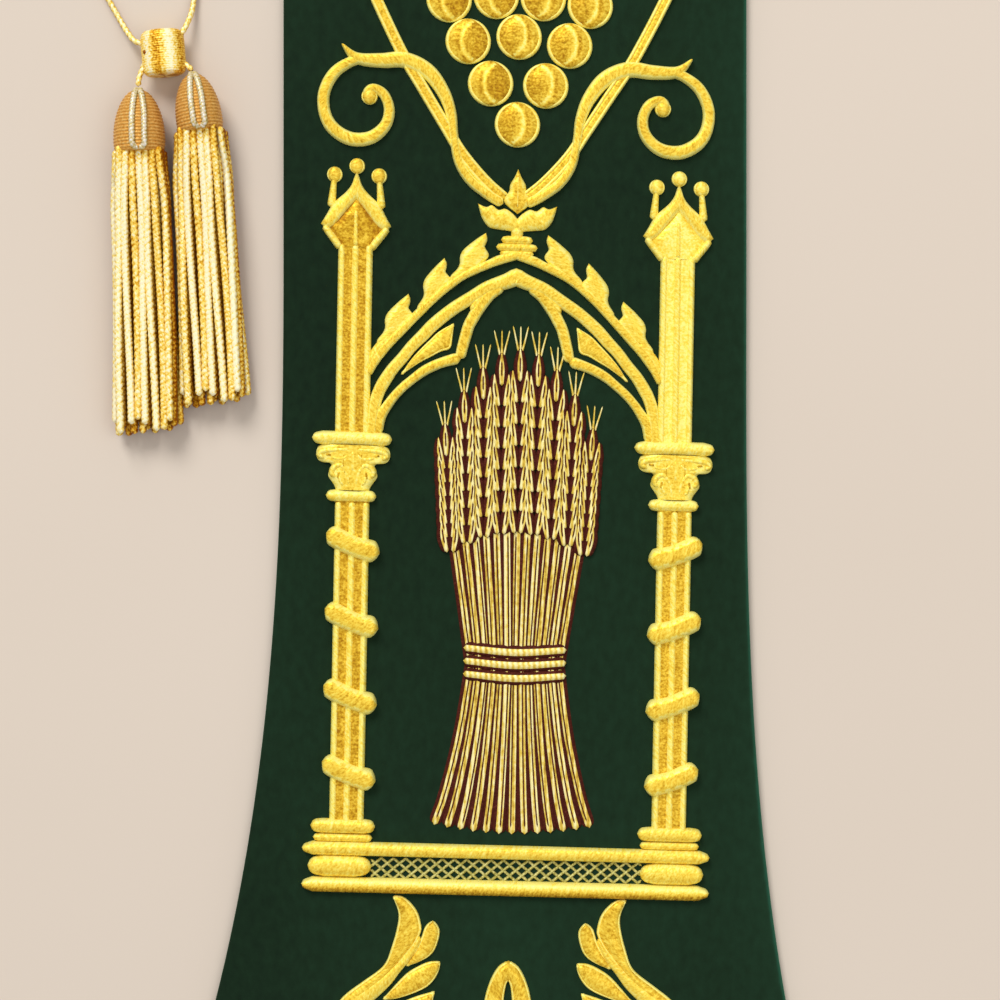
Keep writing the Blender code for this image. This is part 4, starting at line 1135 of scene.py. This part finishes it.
def skirt_strands(skirt, head_lift, width):
    """The strands' lines from under the head's base down to the hem."""
    base = HEAD_PROFILE[1][0] * width
    for layer, (count, root_z, lying_z) in enumerate(SKIRT_LAYERS):
        stagger = 0.12 if layer % 2 else -0.12
        for n in range(count):
            across = n - (count - 1) / 2 + stagger
            drop = SHOULDER * max(abs(across) * ROOT_PITCH - 0.55 * base, 0.0)
            length = skirt + HEM_UNEVEN * math.sin(5.1 * n + 2.3 * layer) - HEM_SLOPE * across
            points = []
            for t in np.linspace(0.0, 1.0, 25):
                pitch = ROOT_PITCH + (SPREAD_PITCH - ROOT_PITCH) * smooth_step(t / SPREAD_BY)
                pitch += (HEM_PITCH - SPREAD_PITCH) * t * t
                wave = STRAND_WAVE * math.sin(5.5 * t + 0.7 * layer + 0.35 * n) * t
                bow = STRAND_BOW * math.sin(4.0 * t + 1.9 * n + 2.7 * layer)
                x = across * pitch + wave + bow * smooth_step(2.5 * t)
                cover = math.sqrt(max(base**2 - x * x, 0.0)) * TASSEL_FLATTENING
                root = min(root_z, head_lift + cover - STRAND_RADIUS * 0.5)
                height = root + (lying_z - root) * smooth_step(2 * t)
                points.append((x, STRAND_ROOT - drop - (length - drop) * t, height))
            yield np.array(points)


def make_skirt(name, gold, place, side, *shape):
    """Twisted strands under a head, with painted shade where others or the next skirt shade them."""
    work = Stitching()
    for n, points in enumerate(skirt_strands(*shape)):
        reach = (side * points[0, 0] - SKIRT_MEETS[0]) / (SKIRT_MEETS[1] - SKIRT_MEETS[0])
        under = min((SKIRT_LAYERS[-1][2] - points[-1, 2]) / 2.0, 1.0)
        covered = under * (1 - min(abs(points[-1, 0]) / SKIRT_HALF, 1.0) ** 3)
        # Painted shade from the next skirt and from the strands above.
        shadow = SKIRT_SHADOW * min(max(reach, 0.0), 1.0) + SKIRT_UNDER_SHADE * covered
        twisted(
            work, place(points), STRAND_RADIUS, 3.0 + 0.6 * math.sin(3.1 * n), 1.7 * n,
            tone=0.98 + 0.22 * math.sin(2.2 * n) - shadow, **STYLES["strand"],
        )
    return work.make(name, gold)


def make_tassel(name, x, y, head_lean, skirt_lean, width, head, skirt, wrap, gold, bright):
    place = placed(x, y, head_lean, width)
    profile = [(radius, height * head / HEAD_LENGTH) for radius, height in HEAD_PROFILE]
    lift = max(radius for radius, _ in HEAD_PROFILE) * TASSEL_FLATTENING + SEAM_GAP
    closed = [(0.2, profile[0][1] - 0.1), *profile, (0.2, profile[-1][1] + 0.25)]
    work = Stitching()
    wound(work, closed, place, 40, TASSEL_FLATTENING, lift, 0.50, 0.26, WRAP_PITCH)
    top = work.make(name + "_head", wrap)
    side = 1 if x < SLIDER_AT[0] else -1
    threads = make_skirt(name + "_skirt", gold, placed(x, y, skirt_lean), side, skirt, lift, width)
    bars = Stitching()
    for side in (-1, 1):
        rows = []
        for radius, height in smooth(profile, 4)[::-1]:
            if height < -0.2:
                break
            across = BAR_SHIFT * min(radius / 6.0, 1.0) + side * min(BAR_AWAY, radius * 0.26)
            level = math.sqrt(max(radius * radius - across * across, 0.0))
            rows.append((across, height, lift + (level + 0.30) * TASSEL_FLATTENING))
        for away, height, level in BAR_ENDS:
            rows.append((BAR_SHIFT + side * away, height, lift + level * TASSEL_FLATTENING))
        twisted(bars, place(np.array(rows)), BAR_RADIUS, 1.9, side, sides=8, step=0.25, tone=0.86)
    return top, threads, bars.make(name + "_bars", bright)


def tie_route(side, route, drop):
    """From the band's edge down through the slider to the tassel's head."""
    y = np.array(HEM_Y + TIE_FROM_HEM)
    edge = float(band_centre(y) - band_width(y) / 2)
    start = np.array((side * (edge - CORD_GAP), y, WALL / 2))
    out, along, down = CORD_EXIT
    step = start + (-side * out, along, -down)
    return smooth(np.vstack((start, step, tie_points(route[::-1]), tie_points(drop))), 12)


def make_slider(gold):
    work = Stitching()
    profile = []
    for angle in math.pi * (np.arange(25) / 24 - 0.5):
        along = math.copysign(abs(math.sin(angle)) ** SLIDER_SQUARENESS, math.sin(angle))
        radius = SLIDER_RADIUS * math.cos(angle) ** SLIDER_SQUARENESS
        profile.append((max(radius, 0.2), SLIDER_HALF * along))
    x, y, z = SLIDER_AT
    place = placed(x, y, SLIDER_LEAN)
    wound(work, profile, place, 64, SLIDER_FLATTENING, z, 0.60, 0.07, 0.62, SLIDER_PAINTED_LIGHT_BANDS)
    # A dark cord laid in the slider's opening: painted shade in the hole.
    twisted(work, tie_points(SLIDER_HOLE_SHADE_CORD), 0.7, 3.0, tone=-0.6)
    return work.make("slider_winding", gold)


# ---------------------------------------------------------------- materials


class Nodes:
    """A material's node tree, with short calls that add to it and give what they add."""

    def __init__(self, name):
        self.material = bpy.data.materials.new(name)
        self.material.use_nodes = True
        self.tree = self.material.node_tree
        self.shader = self.tree.nodes["Principled BSDF"]

    def put(self, socket, value):
        if isinstance(value, bpy.types.NodeSocket):
            self.tree.links.new(value, socket)
        else:
            socket.default_value = value

    def node(self, kind, inputs=None, output=0, **settings):
        made = self.tree.nodes.new("ShaderNode" + kind)
        for key, value in settings.items():
            setattr(made, key, value)
        for key, value in (inputs or {}).items():
            self.put(made.inputs[key], value)
        return made.outputs[output]

    def attribute(self, name, output="Vector"):
        return self.node("Attribute", output=output, attribute_name=name)

    def place(self):
        return self.node("TexCoord", output="Object")

    def part(self, vector, axis):
        return self.node("SeparateXYZ", {0: vector}, axis)

    def math(self, operation, *values):
        return self.node("Math", dict(enumerate(values)), operation=operation)

    def sum(self, value, *terms):
        """The value with each term, a value and its factor, added to it."""
        for term, factor in terms:
            value = self.math("MULTIPLY_ADD", term, factor, value)
        return value

    def fading(self, value, rate):
        return self.math("EXPONENT", self.math("MULTIPLY", value, rate))

    def noise(self, vector, repeats, detail=2.0):
        """Noise that repeats so often along each of the vector's axes."""
        scaled = self.node("VectorMath", {0: vector, 1: repeats}, operation="MULTIPLY")
        return self.node("TexNoise", {"Vector": scaled, "Scale": 1.0, "Detail": detail})

    def ramp(self, value, stops):
        colour = self.node("ValToRGB", {0: value})
        elements = colour.node.color_ramp.elements
        while len(elements) < len(stops):
            elements.new(0.5)
        for element, (place, shade) in zip(elements, stops):
            element.position = place
            element.color = (*shade, 1.0)
        return colour

    def finish(self, bump=None, **values):
        """Sets the shader, with a bump given as height, strength and distance."""
        if bump:
            values["Normal"] = self.node("Bump", dict(zip(("Height", "Strength", "Distance"), bump)))
        for key, value in values.items():
            self.put(self.shader.inputs[key.replace("_", " ")], value)
        return self.material


def thread_material(name, stops, grain, roughness, spread=0.45, sparkle=0.9):
    """Threads side by side: grain is how often the noise repeats across and along, per mm.
    A glint noise, strong by sparkle, mottles them at random with painted glints.
    """
    made = Nodes(name)
    stitch, satin = made.attribute("stitch"), made.attribute("satin")
    across, along = grain
    fine = made.noise(stitch, (across, along, 7.3), 3.0)
    broad = made.noise(stitch, (across * 0.8, along * 0.3, 3.1), 1.0)
    # Random mottle with painted glints of the metal thread.
    painted_glint = made.noise(stitch, (1.5, 1.7, 5.7))
    crease = made.part(satin, 2)
    # ridge is a painted highlight along a grape's crease, also in the bump.
    ridge = made.fading(made.math("MULTIPLY", crease, crease), -110.0)
    value = made.sum(
        made.part(satin, 1), (fine, spread), (broad, spread * 0.6), (painted_glint, sparkle), (ridge, 0.5)
    )
    colour = made.ramp(made.math("SUBTRACT", value, spread * 0.8 + sparkle * 0.5), stops)
    return made.finish(
        (made.sum(fine, (ridge, 0.8)), 0.9, 0.00012), Base_Color=colour, Specular_Tint=colour,
        Roughness=roughness, Metallic=0.2,
    )


def row_material(name, stops):
    """Rows of metallic thread that run up the panel, beaded by its stitches, with painted shade between the
    rows.
    """
    made = Nodes(name)
    place = made.place()
    turn = made.math("MULTIPLY", made.part(place, 0), 2 * math.pi / (STITCH_ROW * MM))
    # Darker between the rows: painted shade in the grooves between them, also in the bump.
    row = made.math("MULTIPLY_ADD", made.math("COSINE", turn), 0.5, 0.5)
    beads = made.noise(place, (900.0, 620.0, 0.0))
    broad = made.noise(place, (60.0, 45.0, 0.0))
    tone = made.part(made.attribute("satin"), 1)
    value = made.sum(beads, (row, 0.46), (broad, 0.5), (tone, 0.7))
    colour = made.ramp(made.math("SUBTRACT", value, 0.80), stops)
    bump = (made.sum(beads, (row, 0.8)), 0.8, 0.00016)
    return made.finish(bump, Base_Color=colour, Roughness=0.42, Metallic=0.2)


def velvet_material():
    """Dark pile with a painted sheen towards the band's outer edge and a painted highlight line along the
    edge.
    """
    made = Nodes("green_velvet_pile")
    place, edge = made.place(), made.attribute("from_edge", "Fac")
    broad = made.math("MULTIPLY", made.noise(place, (9.0, 5.0, 1.0), 3.0), 0.9)
    nap = made.noise(place, (420.0, 260.0, 1.0), 3.0)
    # Painted sheen and painted highlight near the outer edge.
    band = made.fading(edge, -1 / EDGE_PAINTED_SHEEN)
    line = made.fading(made.math("POWER", edge, 2.0), -1 / EDGE_PAINTED_GLINT**2)
    value = made.sum(broad, (nap, 0.5), (band, 0.22), (line, 1.1))
    return made.finish(
        (nap, 0.5, 0.0003), Base_Color=made.ramp(made.math("MULTIPLY", value, 0.5), VELVET_STOPS),
        Roughness=0.85, Specular_IOR_Level=0.12, Sheen_Weight=0.6, Sheen_Roughness=0.22,
        Sheen_Tint=(0.25, 0.85, 0.50, 1.0),
    )


# ---------------------------------------------------------------- studio


def make_camera():
    data = bpy.data.cameras.new("camera")
    data.lens = LENS
    data.sensor_width = SENSOR
    data.clip_start = 0.01
    camera = add_object("camera", data)
    height = VIEW_SPAN * LENS / SENSOR + WALL
    camera.location = (VIEW_X * MM, VIEW_Y * MM, height * MM)
    bpy.context.scene.camera = camera


def add_light(name, place, target, size, power, colour):
    data = bpy.data.lights.new(name, "AREA")
    data.shape = "DISK"
    data.size = size
    data.energy = power
    data.color = colour
    light = add_object(name, data)
    light.location = place
    aim = np.array(target) - np.array(place)
    aim = aim / np.linalg.norm(aim)
    light.rotation_euler = (math.acos(-aim[2]), 0.0, math.atan2(-aim[0], aim[1]))


def make_studio():
    corners = [(x * FLOOR_REACH, y * FLOOR_REACH, FLOOR_Z) for x, y in ((-1, -1), (1, -1), (1, 1), (-1, 1))]
    mesh = bpy.data.meshes.new("floor")
    mesh.from_pydata(corners, [], [(0, 1, 2, 3)])
    made = Nodes("floor_card")
    colour = made.ramp(made.noise(made.place(), (6.0, 9.0, 1.0), 1.0), FLOOR_STOPS)
    mesh.materials.append(made.finish(Base_Color=colour, Roughness=0.9))
    add_object("floor", mesh)
    world = bpy.data.worlds.new("studio")
    world.use_nodes = True
    background = world.node_tree.nodes["Background"]
    background.inputs[0].default_value, background.inputs[1].default_value = WORLD_LIGHT
    bpy.context.scene.world = world
    for light in LIGHTS:
        add_light(*light)
    bpy.context.scene.view_settings.view_transform = "Standard"


# ---------------------------------------------------------------- all of it


def dress(obj, slot, *nodes):
    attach(obj, "root")
    if nodes:
        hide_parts(*nodes)
    return obj


def make_tie(cord_gold, wrap, bright):
    slider = dress(make_slider(cord_gold), "gold_cord", "slider")
    for name, *shape in TASSELS:
        head, threads, bars = make_tassel(name, *shape, wrap, cord_gold, bright)
        dress(head, "gold_cord", name)
        dress(threads, "gold_cord")
        dress(bars, "gold_cord")
    for name, side, route, drop in CORDS:
        path = tie_route(side, route, drop)
        work = Stitching()
        twisted(work, path, CORD_SIZE / 2 * 1.06, 3.4, tone=0.9, step=0.35)
        cord = work.make(f"tie_cord_{name}", cord_gold)
        dress(cord, "gold_cord", f"cord_{name}", f"drop_{name}")
        float(lengths_along(path)[-1]) * MM


def make_halves(velvet, satin, net, rows, dark):
    work, lattice, sheaf, edging = (Stitching() for _ in range(4))
    for embroider in (
        embroider_bars, embroider_columns, embroider_arch, embroider_vine, embroider_palmette,
    ):
        embroider(work)
    embroider_lattice(lattice)
    embroider_sheaf(sheaf, edging)
    trimmings = (
        ("satin", work, satin), ("lattice", lattice, net), ("sheaf", sheaf, rows),
        ("sheaf_edging", edging, dark),
    )
    for name, mirrored in (("right", False), ("left", True)):
        cloth, area = make_velvet(f"velvet_{name}", velvet, mirrored)
        dress(cloth, "green_velvet", f"stole_{name}")
        trims = [
            dress(part.make(f"{label}_{name}", material, mirrored), "gold_cord")
            for label, part, material in trimmings
        ]


def main():
    make_camera()
    make_studio()
    cord_gold = thread_material("gold_cord_thread", CORD_STOPS, (1.4, 1.2), 0.38, 0.6, 1.5)
    silver = thread_material("silver_gold_thread", SILVER_STOPS, (1.2, 1.6), 0.35, 0.6, 1.3)
    satin = thread_material("gold_satin_thread", GOLD_STOPS, (0.32, 1.15), 0.40, 0.5, 1.15)
    make_tie(cord_gold, thread_material("tassel_head_thread", HEAD_STOPS, (1.4, 1.2), 0.4), silver)
    make_halves(
        velvet_material(), satin,
        thread_material("lattice_thread", LATTICE_STOPS, (1.2, 1.6), 0.35, 0.6, 1.3),
        row_material("row_stitch", ROW_STOPS),
        thread_material("dark_edging_thread", DARK_STOPS, (1.0, 1.0), 0.6),
    )


main()
